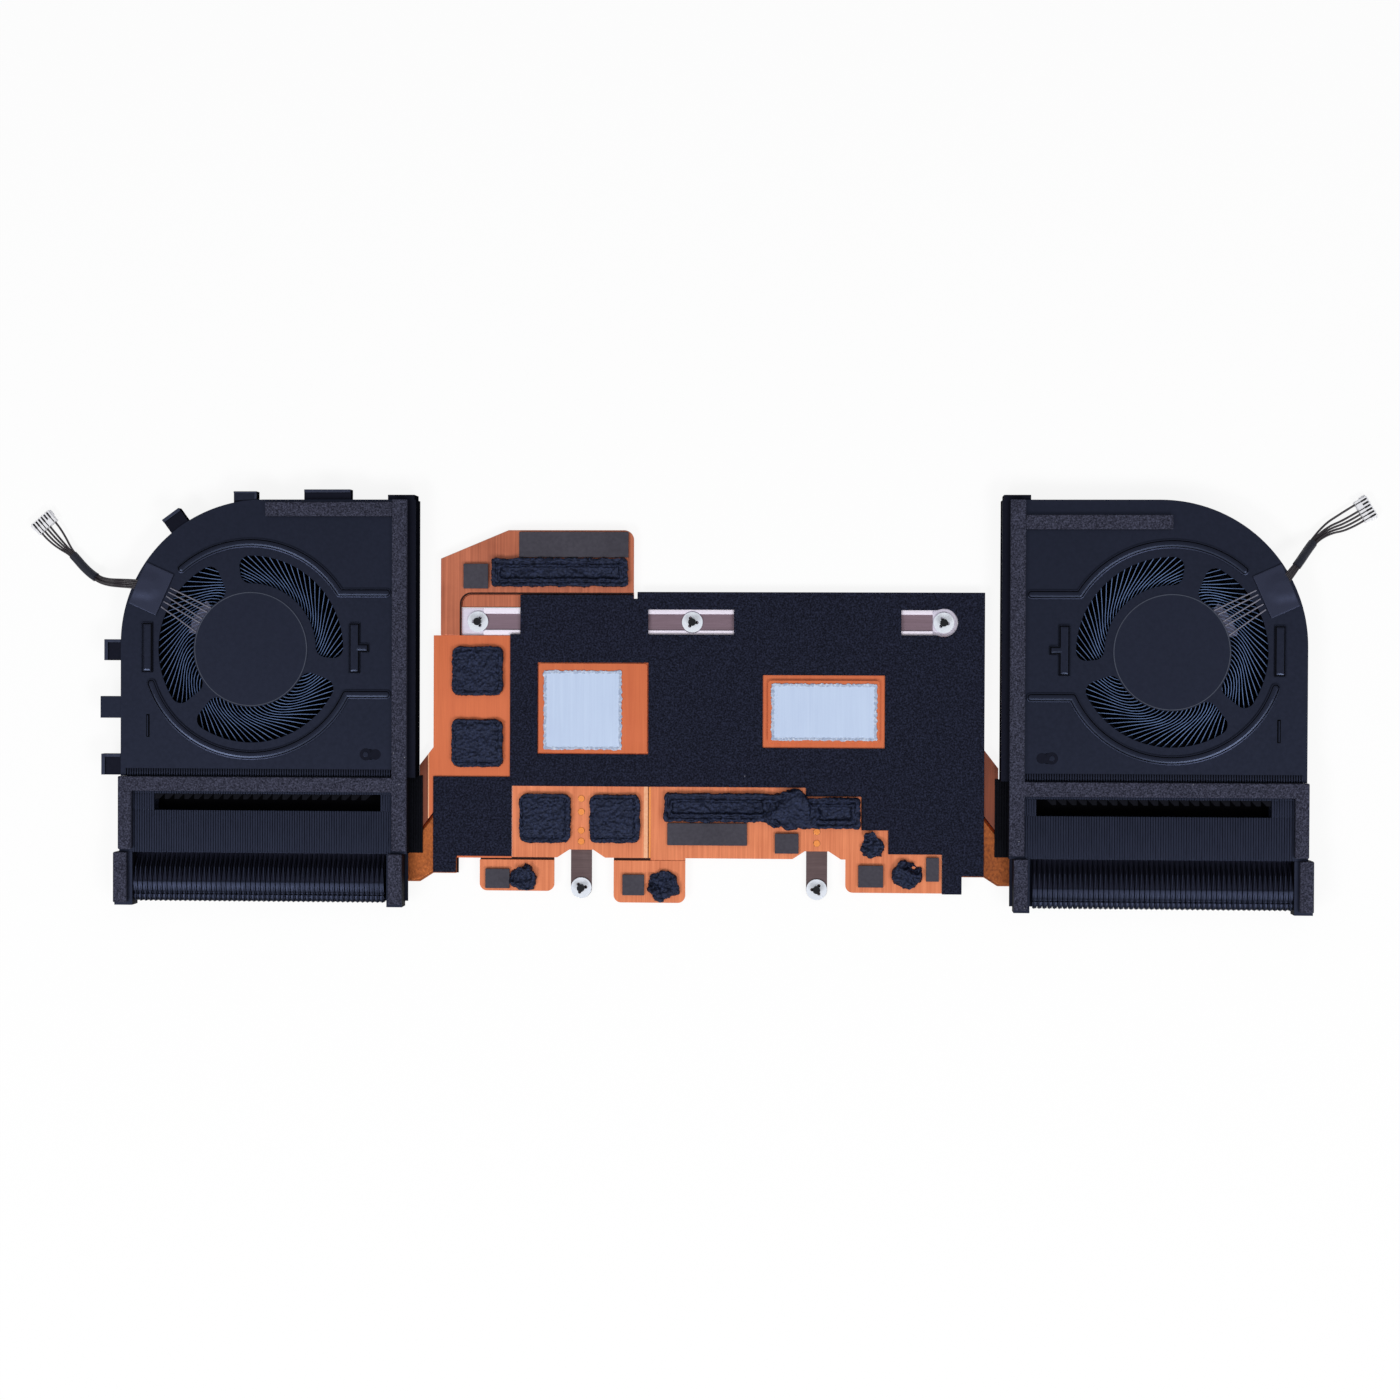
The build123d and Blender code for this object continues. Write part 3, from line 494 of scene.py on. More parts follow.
@dataclass(frozen=True)
class Finish:
    """Surface with a fine grain and broad clouds of a second colour."""

    name: str
    slot: str
    colour: Triple
    shade: Triple
    rough: Pair
    grain: float = 0.9
    stretch: Triple = EVEN
    metal: float = 0.0
    gloss: float = 0.5
    depth: float = 0.004
    tint: Triple = EVEN

    def material(self) -> bpy.types.Material:
        """The finish's material, made at its first use.

        Returns:
            The material.
        """
        made = bpy.data.materials.get(self.name)
        if made is None:
            made = bpy.data.materials.new(self.name)
            graph = Graph(made, PRINCIPLED)
            graph.feed({"Metallic": self.metal, "Specular IOR Level": self.gloss, "Specular Tint": (*self.tint, 1)})
            self.dress(graph)
        return made

    def coat(self, graph: Graph, colour: Socket, wear: Socket) -> None:
        """Lay a colour and a roughness that follows a noise into the shader."""
        graph.feed({"Base Color": colour, "Roughness": graph.between(wear, *MIDDLE, *self.rough)})

    def dress(self, graph: Graph) -> None:
        """Lay the grain and the clouds into the shader.

        Args:
            graph: Node tree of the material.
        """
        fine = graph.noise(self.grain, self.stretch)
        clouds = graph.noise(self.grain * CLOUD, self.stretch, 2)
        share = graph.math("ADD", graph.between(fine, *MIDDLE, 0, 0.55), graph.between(clouds, 0.35, 0.65, 0, 0.45))
        self.coat(graph, graph.mix(share, tone(self.colour), tone(self.shade)), fine)
        graph.relief(fine, self.depth)


@dataclass(frozen=True)
class Brushed(Finish):
    """Metal sheet with straight brush lines, wider tool marks and stained clouds."""

    marks: float = 1.25
    mark_depth: float = 0.02
    stain: float = 9.0

    def dress(self, graph: Graph) -> None:
        """Lay the lines, the tool marks and the stains into the shader.

        Args:
            graph: Node tree of the material.
        """
        fine = graph.noise(self.grain, self.stretch, 4)
        marks = graph.noise(self.marks, self.stretch, 2)
        stains = graph.noise(self.stain, detail=4)
        lines = graph.math("ADD", graph.between(fine, 0.25, 0.75, 0, 0.45), graph.between(marks, *MIDDLE, 0, 0.3))
        share = graph.math("ADD", lines, graph.between(stains, 0.35, 0.7, 0, 0.25))
        self.coat(graph, graph.mix(share, tone(self.colour), tone(self.shade)), stains)
        graph.feed({"Anisotropic": 0.4})
        graph.relief(fine, self.depth)
        graph.relief(marks, self.mark_depth)


@dataclass(frozen=True)
class Foam(Finish):
    """Open foam: pores painted darker at their middles as painted shade, and a few bright specks of dust."""

    pore: float = 0.35
    dust: Triple = (150, 152, 160)
    dust_gap: float = 1.5
    dust_share: float = 0.16

    def dress(self, graph: Graph) -> None:
        """Lay the pores and the dust into the shader.

        Args:
            graph: Node tree of the material.
        """
        pores = graph.cells(self.pore).outputs["Distance"]
        fine = graph.noise(self.grain, self.stretch, 5)
        # Painted shade: darker towards the middle of each pore, where the bump dips.
        share = graph.math("MULTIPLY", graph.between(pores, 0.1, 0.6), graph.between(fine, 0.3, 0.68))
        body = graph.mix(share, tone(self.shade), tone(self.colour))
        dots = graph.cells(self.dust_gap).outputs
        near = graph.between(dots["Distance"], 0.1, 0.06)
        chance = graph.add("ShaderNodeSeparateColor", {0: dots["Color"]}).outputs[0]
        rare = graph.between(chance, self.dust_share, self.dust_share - 0.01)
        self.coat(graph, graph.mix(graph.math("MULTIPLY", near, rare), body, tone(self.dust)), fine)
        graph.relief(pores, self.depth)
        graph.relief(fine, self.depth)


@dataclass(frozen=True)
class Granular(Finish):
    """Dried putty: lumps of several sizes, their tops painted lighter as a dull painted highlight."""

    lump: float = 0.9

    def dress(self, graph: Graph) -> None:
        """Lay the lumps into the shader.

        Args:
            graph: Node tree of the material.
        """
        lumps = graph.cells(self.lump, "SMOOTH_F1").outputs["Distance"]
        fine = graph.noise(self.grain, self.stretch, 6)
        # Painted highlight: lighter towards each lump's top, darker in the hollows between lumps.
        share = graph.math("MULTIPLY", graph.between(lumps, 0.75, 0.1), graph.between(fine, 0.35, 0.7))
        self.coat(graph, graph.mix(share, tone(self.shade), tone(self.colour)), fine)
        graph.relief(graph.between(lumps, 0.8, 0.0), self.depth * 2)
        graph.relief(fine, self.depth)


@dataclass(frozen=True)
class Film(Finish):
    """Thin clear film that lets most of what lies under it through."""

    cover: float = 0.12

    def dress(self, graph: Graph) -> None:
        """Lay the film's clouds and its cover into the shader."""
        super().dress(graph)
        graph.feed({"Alpha": self.cover})


NIGHT = (0.46, 0.56, 1.0)
BLACK_COAT = Finish("black_coat", "black_steel", (11, 12, 18), (15, 16, 24), (0.33, 0.42), depth=0.003, tint=NIGHT)
BLACK_MOULDING = Finish("black_moulding", "black_plastic", (10, 11, 16), (15, 16, 23), (0.36, 0.5), depth=0.006,
                        tint=NIGHT)
BLADE_SIDE = Finish("blade_side", "blade_plastic", (12, 13, 18), (8, 9, 13), (0.4, 0.5), 2.0, gloss=0.15)
# Painted highlight: light blue for the blades' top faces, standing for the light they catch.
BLADE_TOP_HIGHLIGHT = Finish("blade_highlight_band", "blade_plastic", (112, 138, 184), (66, 82, 116), (0.3, 0.45), 2.5, gloss=0.4,
                    tint=NIGHT)
FIN_COAT = Finish("fin_coat", "fin_black", (12, 13, 20), (18, 20, 29), (0.36, 0.48), 0.9, (1, 0.2, 1), tint=NIGHT)
# Painted shade: near black deep in the fin bank's slot and in the gaps of the outlet comb.
SLOT_PAINTED_SHADE = Finish("painted_slot_shade", "fin_black", (3, 3, 5), (6, 6, 9), (0.8, 0.9), gloss=0.02)
# Painted shade: near black on the walls of the plate's pressed beads.
BEAD_WALL_PAINTED_SHADE = Finish("painted_bead_wall_shade", "black_steel", (3, 3, 5), (6, 6, 9), (0.6, 0.8), gloss=0.05)
# Painted light: lighter colour for the fins' rear slope, against the shade cast on it.
SLOPE_PAINTED_LIGHT = Finish("painted_slope_light", "fin_black", (37, 39, 55), (30, 32, 46), (0.7, 0.8), gloss=0.05)
# Painted shade: dark on upright fin faces, the low ribbed foot and the slot's teeth.
FIN_PAINTED_SHADE = Finish("painted_fin_shade", "fin_black", (19, 20, 28), (12, 13, 18), (0.6, 0.7), gloss=0.04)
# Painted shade: dark in the hooks' recessed floors and in the post's dimples.
RECESS_PAINTED_SHADE = Finish("painted_recess_shade", "black_plastic", (14, 13, 20), (9, 8, 13), (0.5, 0.6), gloss=0.2, tint=NIGHT)
# Painted highlight: lighter tops of the hooks' lips.
LIP_PAINTED_HIGHLIGHT = Finish("painted_lip_highlight", "black_plastic", (52, 56, 72), (38, 41, 54), (0.45, 0.55), gloss=0.3, tint=NIGHT)
# Painted shade: darker, glossless copy of the moulding for its upright faces.
WALL_PAINTED_SHADE = Finish("painted_wall_shade", "black_plastic", (11, 13, 21), (8, 9, 14), (0.8, 0.9), gloss=0.0)
# Painted highlight: lighter, glossier copy of the coat for the bead crests that face the lamps.
BEAD_CREST_PAINTED_HIGHLIGHT = Finish("painted_bead_crest_highlight", "black_steel", (18, 20, 30), (22, 24, 35), (0.3, 0.34), 2.0, gloss=0.7, depth=0.001,
                    tint=(0.44, 0.55, 0.9))
SEAL_FOAM = Foam("gasket_foam", "seal_foam", (78, 80, 100), (26, 27, 37), (0.85, 0.97), 0.4, gloss=0.06, depth=0.015,
                 pore=0.4, dust_share=0.05)
SHEET_FOAM = Foam("skinned_foam", "sheet_foam", (43, 47, 67), (14, 15, 24), (0.85, 0.97), 0.5, gloss=0.05, depth=0.02,
                  pore=0.45, dust_share=0.012)
COPPER = Brushed("brushed_copper", "copper", (250, 152, 106), (190, 98, 60), (0.34, 0.46), 0.35, (1, 0.02, 1), 0.3,
                 depth=0.015, marks=0.9)
UPPER_COPPER = Brushed("milled_copper", "copper", (216, 126, 92), (146, 74, 50), (0.36, 0.48), 0.35, (1, 0.01, 1), 0.3,
                       depth=0.015, marks=0.55, mark_depth=0.03)
# Darker copper of the wings; also the painted shade line beside the joggle's painted highlight.
WING_COPPER_AND_FOLD_SHADE = Brushed("wing_copper_and_painted_fold_shade", "copper", (152, 80, 54), (86, 42, 32), (0.3, 0.44), 0.4, (1, 0.02, 1), 0.4,
                      depth=0.015, marks=0.8)
# Painted highlight: bright lines along the joggle of the lower plate and the fold of the chamber.
FOLD_PAINTED_HIGHLIGHT = Finish("painted_fold_highlight", "copper", (255, 196, 156), (236, 158, 112), (0.3, 0.4), 0.8, metal=0.3)
LAND_COPPER = Brushed("land_copper", "copper", (224, 120, 74), (202, 100, 60), (0.36, 0.48), 0.3, (1, 0.03, 1), 0.3,
                      depth=0.006, marks=2.5, mark_depth=0.006)
# Painted shade: in the recess rim, on the rivets' sides, above the tabs and in the gaps by the pipes.
COPPER_PAINTED_SHADE = Finish("painted_copper_shade", "copper", (58, 34, 30), (40, 24, 22), (0.6, 0.8), 0.8, gloss=0.1, depth=0.01)
PIPE_COPPER = Finish("pipe_copper", "copper", (200, 112, 58), (98, 50, 30), (0.3, 0.5), 0.6, (1, 0.6, 1), 0.8,
                     depth=0.08)
# The rivets' own bright copper; also the thin painted highlight line along the joggle.
RIVET_COPPER_AND_FOLD_HIGHLIGHT = Finish("rivet_copper_and_painted_fold_highlight", "copper", (255, 166, 88), (240, 138, 62), (0.22, 0.34), 0.6, metal=0.15)
STEEL = Brushed("spring_steel", "steel", (236, 230, 246), (214, 208, 228), (0.26, 0.38), 0.35, (0.04, 1, 1), 0.3,
                marks=1.0, mark_depth=0.004)
# Painted highlight: lighter steel for the spring bar's round ribs.
RIB_PAINTED_HIGHLIGHT = Finish("painted_rib_highlight", "steel", (250, 242, 255), (236, 228, 246), (0.3, 0.4), 0.35, (0.04, 1, 1), depth=0.003)
WEB_STEEL = Brushed("web_steel", "steel", (142, 120, 134), (116, 96, 106), (0.36, 0.5), 0.14, (0.03, 1, 1), 0.5, 0.4,
                    0.006, marks=0.6, mark_depth=0.006)
ARM_STEEL = Brushed("arm_steel", "steel", (108, 90, 92), (82, 66, 68), (0.34, 0.5), 0.14, (0.04, 1, 1), 0.5, 0.4,
                    0.006, marks=0.6, mark_depth=0.006)
PLATED = Finish("plated_steel", "bright_steel", (240, 244, 252), (222, 229, 242), (0.24, 0.38), 0.8, metal=0.1,
                depth=0.003)
SCREW_DARK = Finish("screw_steel", "steel", (26, 27, 34), (16, 17, 22), (0.35, 0.5), 0.4, metal=0.3, gloss=0.3,
                    depth=0.01)
PASTE = Brushed("printed_paste", "paste", (200, 217, 244), (186, 203, 233), (0.3, 0.5), 0.5, (1, 0.03, 1), gloss=0.4,
                depth=0.01, marks=1.2, mark_depth=0.03)
PASTE_RIM = Granular("paste_rim", "paste", (226, 236, 250), (150, 166, 196), (0.25, 0.45), 0.6, depth=0.05)
PAD = Finish("pad_rubber", "pad", (72, 70, 80), (60, 58, 67), (0.6, 0.75), 0.8, gloss=0.15, depth=0.01)
PUTTY = Granular("dried_putty", "putty", (46, 54, 82), (8, 9, 16), (0.4, 0.65), 0.6, gloss=0.4, depth=0.08, tint=NIGHT,
                 lump=0.7)
LABEL = Finish("label_film", "label", (14, 15, 22), (17, 18, 26), (0.36, 0.44), depth=0.003, tint=NIGHT)
LABEL_LINE = Finish("label_line", "label", (68, 74, 90), (56, 62, 76), (0.4, 0.5), 0.6, gloss=0.3, depth=0.003)
LEAD = Finish("lead_enamel", "lead", (122, 122, 138), (84, 84, 98), (0.35, 0.5))
TAPE = Finish("tape_film", "tape", (40, 42, 56), (32, 34, 46), (0.34, 0.5), 1.2, depth=0.01, tint=NIGHT)
GLUE = Film("lead_glue", "lead", (176, 178, 212), (120, 122, 152), (0.15, 0.35), 0.9, (0.3, 1, 1), depth=0.03)
SHEATH = Finish("cable_sheath", "cable", (40, 43, 56), (30, 32, 43), (0.45, 0.65), 0.4, gloss=0.3, depth=0.01)
WIRE = Finish("wire_sheath", "cable", (50, 44, 50), (30, 27, 33), (0.3, 0.45), 0.8)
NYLON = Finish("plug_nylon", "plug", (240, 240, 244), (226, 227, 234), (0.35, 0.5), 0.8, depth=0.006)
CONTACT = Finish("plug_contact", "steel", (34, 33, 38), (20, 20, 24), (0.3, 0.45), 0.3, metal=0.3, gloss=0.4)
MAGNET = Finish("bonded_magnet", "magnet", (72, 72, 76), (52, 52, 56), (0.5, 0.7), 0.4, metal=0.4, gloss=0.4,
                depth=0.02)
BEARING = Finish("bearing_bronze", "brass", (190, 160, 104), (150, 122, 76), (0.35, 0.5), 0.3, metal=0.8, depth=0.02)
BOARD = Finish("motor_board", "board", (34, 96, 62), (24, 74, 48), (0.35, 0.5), 1.0, depth=0.01)


def dress_node(node: str, finish: Finish) -> None:
    """Give a CAD node that stays in view its finish.

    Args:
        node: Name of the CAD node.
        finish: Its finish.
    """
    materials = bpy.data.objects[node].data.materials
    materials.clear()
    materials.append(finish.material())
    LOG.info("%s keeps its CAD shape, in %s", node, finish.name)


def deliver(item: Item, finish: Finish, stands_for: str = "", body: str = MODULE, angle: float = 35,
            coated: bool = False) -> Item:
    """Finish a new piece: material, shading, body and the node it stands for.

    Args:
        item: The piece.
        finish: Its finish, or the main one of its finishes.
        stands_for: CAD node that it replaces, if any.
        body: CAD body that it moves with.
        angle: Edges sharper than this many degrees stay sharp.
        coated: Whether its faces have their finishes already.

    Returns:
        The same piece.
    """
    if not coated:
        item.data.materials.clear()
        item.data.materials.append(finish.material())
    pick_up(item)
    bpy.ops.object.shade_smooth_by_angle(angle=math.radians(angle))
    shape(item, "WEIGHTED_NORMAL", keep_sharp=True)
    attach(item, body)
    if stands_for:
        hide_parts(stands_for)
    LOG.info("%s: %d faces on %s", item.name, len(item.data.polygons), body)
    return item


def soften(node: str, name: str, width: float, finish: Finish, segments: int = 2) -> Item:
    """Stand-in for a CAD node: its copy under a new name, with edges rounded by a width in millimetres."""
    return deliver(ease(node_copy(node, name), width, segments), finish, node)


def paint(item: Item, finish: Finish, test: Callable[[bmesh.types.BMFace], bool]) -> None:
    """Give the faces of a finished piece that pass a test another finish.

    Args:
        item: The piece.
        finish: Finish of those faces.
        test: Says of one face whether it gets it.
    """
    item.data.materials.append(finish.material())
    with editing(item):
        choose(Pick.FACES, test)
        item.active_material_index = len(item.data.materials) - 1
        bpy.ops.object.material_slot_assign()


# Studio


@dataclass
class Studio:
    """Pale floor, soft light and the camera at the photograph's angle."""

    eye: Triple = (36.06, 7.87, 654.47)
    tilt: Triple = (-0.684, 3.169, 0.229)
    lens: float = 63.19
    sensor: float = 36.0
    clip: float = 0.01
    horizon: Pair = (0.3, 0.12)
    overhead: Pair = (0.8, 0.55)
    floor_half: float = 3.0
    floor_drop: float = 0.15
    floor_white: float = 0.88
    paper: tuple[Quad, Quad] = ((0.92, 0.92, 0.93, 1), (0.95, 0.95, 0.95, 1))
    paper_grain: float = 4.0
    # Painted shadow under each fan's inlets: its colour, and the distances from the hub over which it fades out.
    dark: Quad = (0.01, 0.01, 0.01, 1)
    painted_shadow_r: Pair = (24.6, 25.6)
    lamp_at: Triple = (0.5, -0.55, 0.88)
    lamp_size: Pair = (0.6, 0.22)
    lamp_power: float = 5.0

    def build(self) -> None:
        """Make the camera, the lamps, the world and the floor."""
        self.build_camera()
        self.build_lamps()
        self.build_world()
        self.build_floor()
        bpy.context.scene.view_settings.view_transform = "Standard"

    def build_camera(self) -> None:
        """Camera over the module, as far off and as turned as in the photograph."""
        put_down()
        turn = [math.radians(value) for value in self.tilt]
        bpy.ops.object.camera_add(location=[value * MM for value in self.eye], rotation=turn)
        camera = bpy.context.object
        camera.name = "photo_camera"
        camera.data.lens = self.lens
        camera.data.sensor_width = self.sensor
        camera.data.clip_start = self.clip
        bpy.context.scene.camera = camera

    def build_lamps(self) -> None:
        """Soft lamp in front of each fan, aimed at the middle of the module."""
        x, y, z = self.lamp_at
        for side in Side:
            put_down()
            place = Vector((-side.inward * x, y, z))
            bpy.ops.object.light_add(type="AREA", location=place, rotation=place.to_track_quat("Z", "Y").to_euler())
            lamp = bpy.context.object.data
            lamp.shape = "RECTANGLE"
            lamp.size, lamp.size_y = self.lamp_size
            lamp.energy = self.lamp_power

    def build_world(self) -> None:
        """Soft light from above that fades to dark walls round the module."""
        world = bpy.data.worlds.new("studio_world")
        bpy.context.scene.world = world
        graph = Graph(world, "Background")
        up = graph.add("ShaderNodeSeparateXYZ", {0: graph.where["Generated"]}).outputs[2]
        (low, dim), (high, bright) = self.horizon, self.overhead
        level = graph.between(up, low, high, dim, bright)
        graph.feed({"Color": WHITE, "Strength": graph.math("MAXIMUM", graph.rays("Camera", "Transmission"), level)})

    def build_floor(self) -> None:
        """Pale floor that keeps a soft shadow, has a painted shadow round each fan's hub under the inlets, and is clear
        from below.
        """
        put_down()
        bpy.ops.mesh.primitive_plane_add(size=2 * self.floor_half, location=(0, 0, -self.floor_drop * MM))
        floor = settle(bpy.context.object)
        floor.name = "studio_floor"
        material = bpy.data.materials.new("studio_paper")
        graph = Graph(material, PRINCIPLED)
        clear_of_fans = 1.0
        # Painted shadow: round each fan's hub the floor is dark and gets no white glow.
        for side in Side:
            inputs = {0: graph.where["Object"], 1: side.hub() * MM}
            far = graph.add("ShaderNodeVectorMath", inputs, operation="DISTANCE").outputs["Value"]
            clear = graph.between(far, *(radius * MM for radius in self.painted_shadow_r))
            clear_of_fans = graph.math("MULTIPLY", clear, clear_of_fans)
        colour = graph.mix(clear_of_fans, self.dark, graph.mix(graph.noise(self.paper_grain), *self.paper))
        graph.feed({"Base Color": colour, "Roughness": 0.9, "Specular IOR Level": 0.0})
        glow = graph.add("ShaderNodeEmission", {"Color": WHITE, "Strength": 1.0})
        seen = graph.math("MULTIPLY", graph.rays("Camera", "Glossy", "Transmission"), self.floor_white)
        share = graph.math("MULTIPLY", seen, clear_of_fans)
        top = graph.add("ShaderNodeMixShader", {0: share, 1: graph.shader.outputs[0], 2: glow.outputs[0]})
        below = graph.add("ShaderNodeNewGeometry").outputs["Backfacing"]
        window = graph.add("ShaderNodeBsdfTransparent")
        whole = graph.add("ShaderNodeMixShader", {0: below, 1: top.outputs[0], 2: window.outputs[0]})
        graph.feed({"Surface": whole.outputs[0]}, graph.tree.nodes["Material Output"])
        floor.data.materials.append(material)


# Fans and their cables


@dataclass
class Sided:
    """Sub-assembly of one side, laid out about its fan's hub with x towards the middle of the module."""

    side: Side

    def node(self, base: str) -> str:
        """Name of this side's node or piece of a kind."""
        return self.side.node(base)

    def at(self, x: float, y: float, z: float) -> Triple:
        """Place in the frame of a point about the hub, both in millimetres."""
        hub = self.side.hub()
        return hub.x + self.side.inward * x, hub.y + y, z

    def point(self, x: float, y: float, z: float) -> Vector:
        """Place in the frame, in metres, of a point about the hub in millimetres."""
        return Vector(self.at(x, y, z)) * MM

    def block(self, name: str, low: Triple, high: Triple) -> Item:
        """Start of a piece: a block between two points about the hub."""
        return block(name, self.at(*low), self.at(*high))


@dataclass
class FanCable(Sided):
    """Five wires from the tape on a fan to its plug, held together by a shrink sleeve."""

    route: tuple[Triple, ...]
    length: float
    sleeve: Pair  # its ends, as shares of the cable
    used_ways: tuple[int, ...]
    line_steps: int = 8
    sleeve_r: float = 1.25
    sleeve_edge: float = 0.2
    wire_r: float = 0.29
    ribbon_pitch: float = 0.52
    bundle_pitch: float = 0.36
    bundle_drop: float = 0.4
    plug_pitch: float = 0.95
    plug_size: Triple = (3.6, 6.2, 2.2)
    plug_edge: float = 0.18
    plug_ways: int = 6
    key: Triple = (0.2, 0.3, 0.38)  # short of the plug's end, into its side, out of its side
    key_edge: float = 0.1
    contact: Triple = (1.7, 0.5, 0.3)  # length, width, distance from the plug's end
    contact_z: Pair = (0.1, 0.02)  # below and above the plug's top

    def build(self) -> None:
        line = self.centreline()
        wires = self.build_wires(line)
        sleeve = self.build_sleeve(line)
        plug = self.build_plug(line)
        path = [tuple(point) for point in line]
        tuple(path[0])

    def draw(self, name: str, kind: str, points: Sequence[Sequence[float]]) -> Item:
        """Curve along points.

        Args:
            name: Name of the new object.
            kind: Blender's name for the kind of line.
            points: Its points in metres.

        Returns:
            The new object.
        """
        curve = bpy.data.curves.new(name, "CURVE")
        curve.dimensions = "3D"
        spline = curve.splines.new(kind)
        spline.points.add(len(points) - 1)
        for point, place in zip(spline.points, points):
            point.co = (*place, 1)
        item = bpy.data.objects.new(name, curve)
        bpy.context.scene.collection.objects.link(item)
        return item

    def centreline(self) -> list[Vector]:
        """The cable's smooth line from the tape to the plug.

        Returns:
            Points along it, in metres.
        """
        route = [[value * MM for value in place] for place in self.route]
        item = self.draw(self.node("cable_line"), "NURBS", route)
        spline = item.data.splines[0]
        spline.resolution_u = self.line_steps
        spline.order_u = 3
        spline.use_endpoint_u = True
        bpy.context.view_layer.update()
        mesh = bpy.data.meshes.new_from_object(item)
        line = [corner.co.copy() for corner in mesh.vertices]
        bpy.data.objects.remove(item)
        bpy.data.meshes.remove(mesh)
        return line

    def tube(self, name: str, points: Sequence[Vector], radius: float) -> Item:
        """Round tube along points, as a mesh.

        Args:
            name: Name of the new object.
            points: Points of its middle line, in metres.
            radius: Its radius in millimetres.

        Returns:
            The new object.
        """
        item = self.draw(name, "POLY", points)
        item.data.bevel_depth = radius * MM
        item.data.bevel_resolution = 2
        item.data.use_fill_caps = True
        pick_up(item)
        bpy.ops.object.convert(target="MESH")
        return bpy.context.object

    def build_wires(self, line: Sequence[Vector]) -> Item:
        """Thin wires: side by side at the tape, bunched in the sleeve, spread to their ways at the plug.

        Args:
            line: The cable's middle line, in metres.

        Returns:
            The wires, as one piece.
        """
        strands = []
        last = len(line) - 1
        for wire, way in enumerate(self.used_ways):
            rank = wire - (len(self.used_ways) - 1) / 2
            points = []
            for index, place in enumerate(line):
                share = index / last
                ahead = line[min(index + 1, last)] - line[max(index - 1, 0)]
                across = Vector((-ahead.y, ahead.x, 0)).normalized()
                lift = self.bundle_pitch * (wire % 2 - self.bundle_drop) * (1 - abs(2 * share - 1))
                points.append(place + across * self.offset(share, rank, way) * MM + Vector((0, 0, lift * MM)))
            strands.append(self.tube(f"wire_{wire}", points, self.wire_r))
        return deliver(join(self.node("fan_cable_wires"), strands), WIRE, self.node("fan_cable"), angle=60)

    def offset(self, share: float, rank: float, way: int) -> float:
        """Distance of a wire from the cable's middle line.

        Args:
            share: Share of the cable's length.
            rank: The wire's place among the wires, counted from the middle one.
            way: The wire's way in the plug.

        Returns:
            The distance in millimetres, across the cable.
        """
        start, stop = self.sleeve
        bundle = rank * self.bundle_pitch
        if share < start:
            return rank * self.ribbon_pitch + (bundle - rank * self.ribbon_pitch) * share / start
        part = max(0.0, (share - stop) / (1 - stop))
        return bundle + (self.way_at(way) - bundle) * part * part * (3 - 2 * part)

    def way_at(self, way: int) -> float:
        """Distance of a plug's way from the plug's middle, in millimetres."""
        return (way - (self.plug_ways - 1) / 2) * self.plug_pitch

    def build_sleeve(self, line: Sequence[Vector]) -> Item:
        """Shrink sleeve over the bunched wires.

        Args:
            line: The cable's middle line, in metres.

        Returns:
            The sleeve.
        """
        start, stop = (round(share * (len(line) - 1)) for share in self.sleeve)
        item = self.tube(self.node("shrink_sleeve"), line[start:stop + 1], self.sleeve_r)
        return deliver(ease(item, self.sleeve_edge), SHEATH, self.node("cable_sleeve"), angle=50)

    def build_plug(self, line: Sequence[Vector]) -> Item:
        """Flat plug with side keys, contact slots and the wires' ends on it.

        Args:
            line: The cable's middle line, in metres.

        Returns:
            The plug.
        """
        depth, width, height = self.plug_size
        gap, inner, outer = self.key
        shell = [ease(block("plug_body", (0, -width / 2, 0), (depth, width / 2, height)), self.plug_edge)]
        for sign in (-1, 1):
            key = block("key", (depth / 2, sign * (width / 2 - inner), height / 4),
                        (depth - gap, sign * (width / 2 + outer), height * 0.75))
            shell.append(ease(key, self.key_edge))
        long, wide, margin = self.contact
        end = depth - margin
        low, high = height - self.contact_z[0], height + self.contact_z[1]
        slots = []
        for way in range(self.plug_ways):
            y = self.way_at(way)
            spans = [(end - long, end, wide / 2)]
            if way in self.used_ways:
                spans.append((0, end - long, self.wire_r / 2))
            slots += [block("slot", (start, y - half, low), (stop, y + half, high)) for start, stop, half in spans]
        for finish, parts in ((NYLON, shell), (CONTACT, slots)):
            for part in parts:
                part.data.materials.append(finish.material())
        heading = line[-1] - line[-4]
        plug = join(self.node("plug"), shell + slots)
        lay(plug, math.atan2(heading.y, heading.x), (line[-1].x, line[-1].y, 0))
        return deliver(plug, NYLON, self.node("fan_plug"), coated=True)


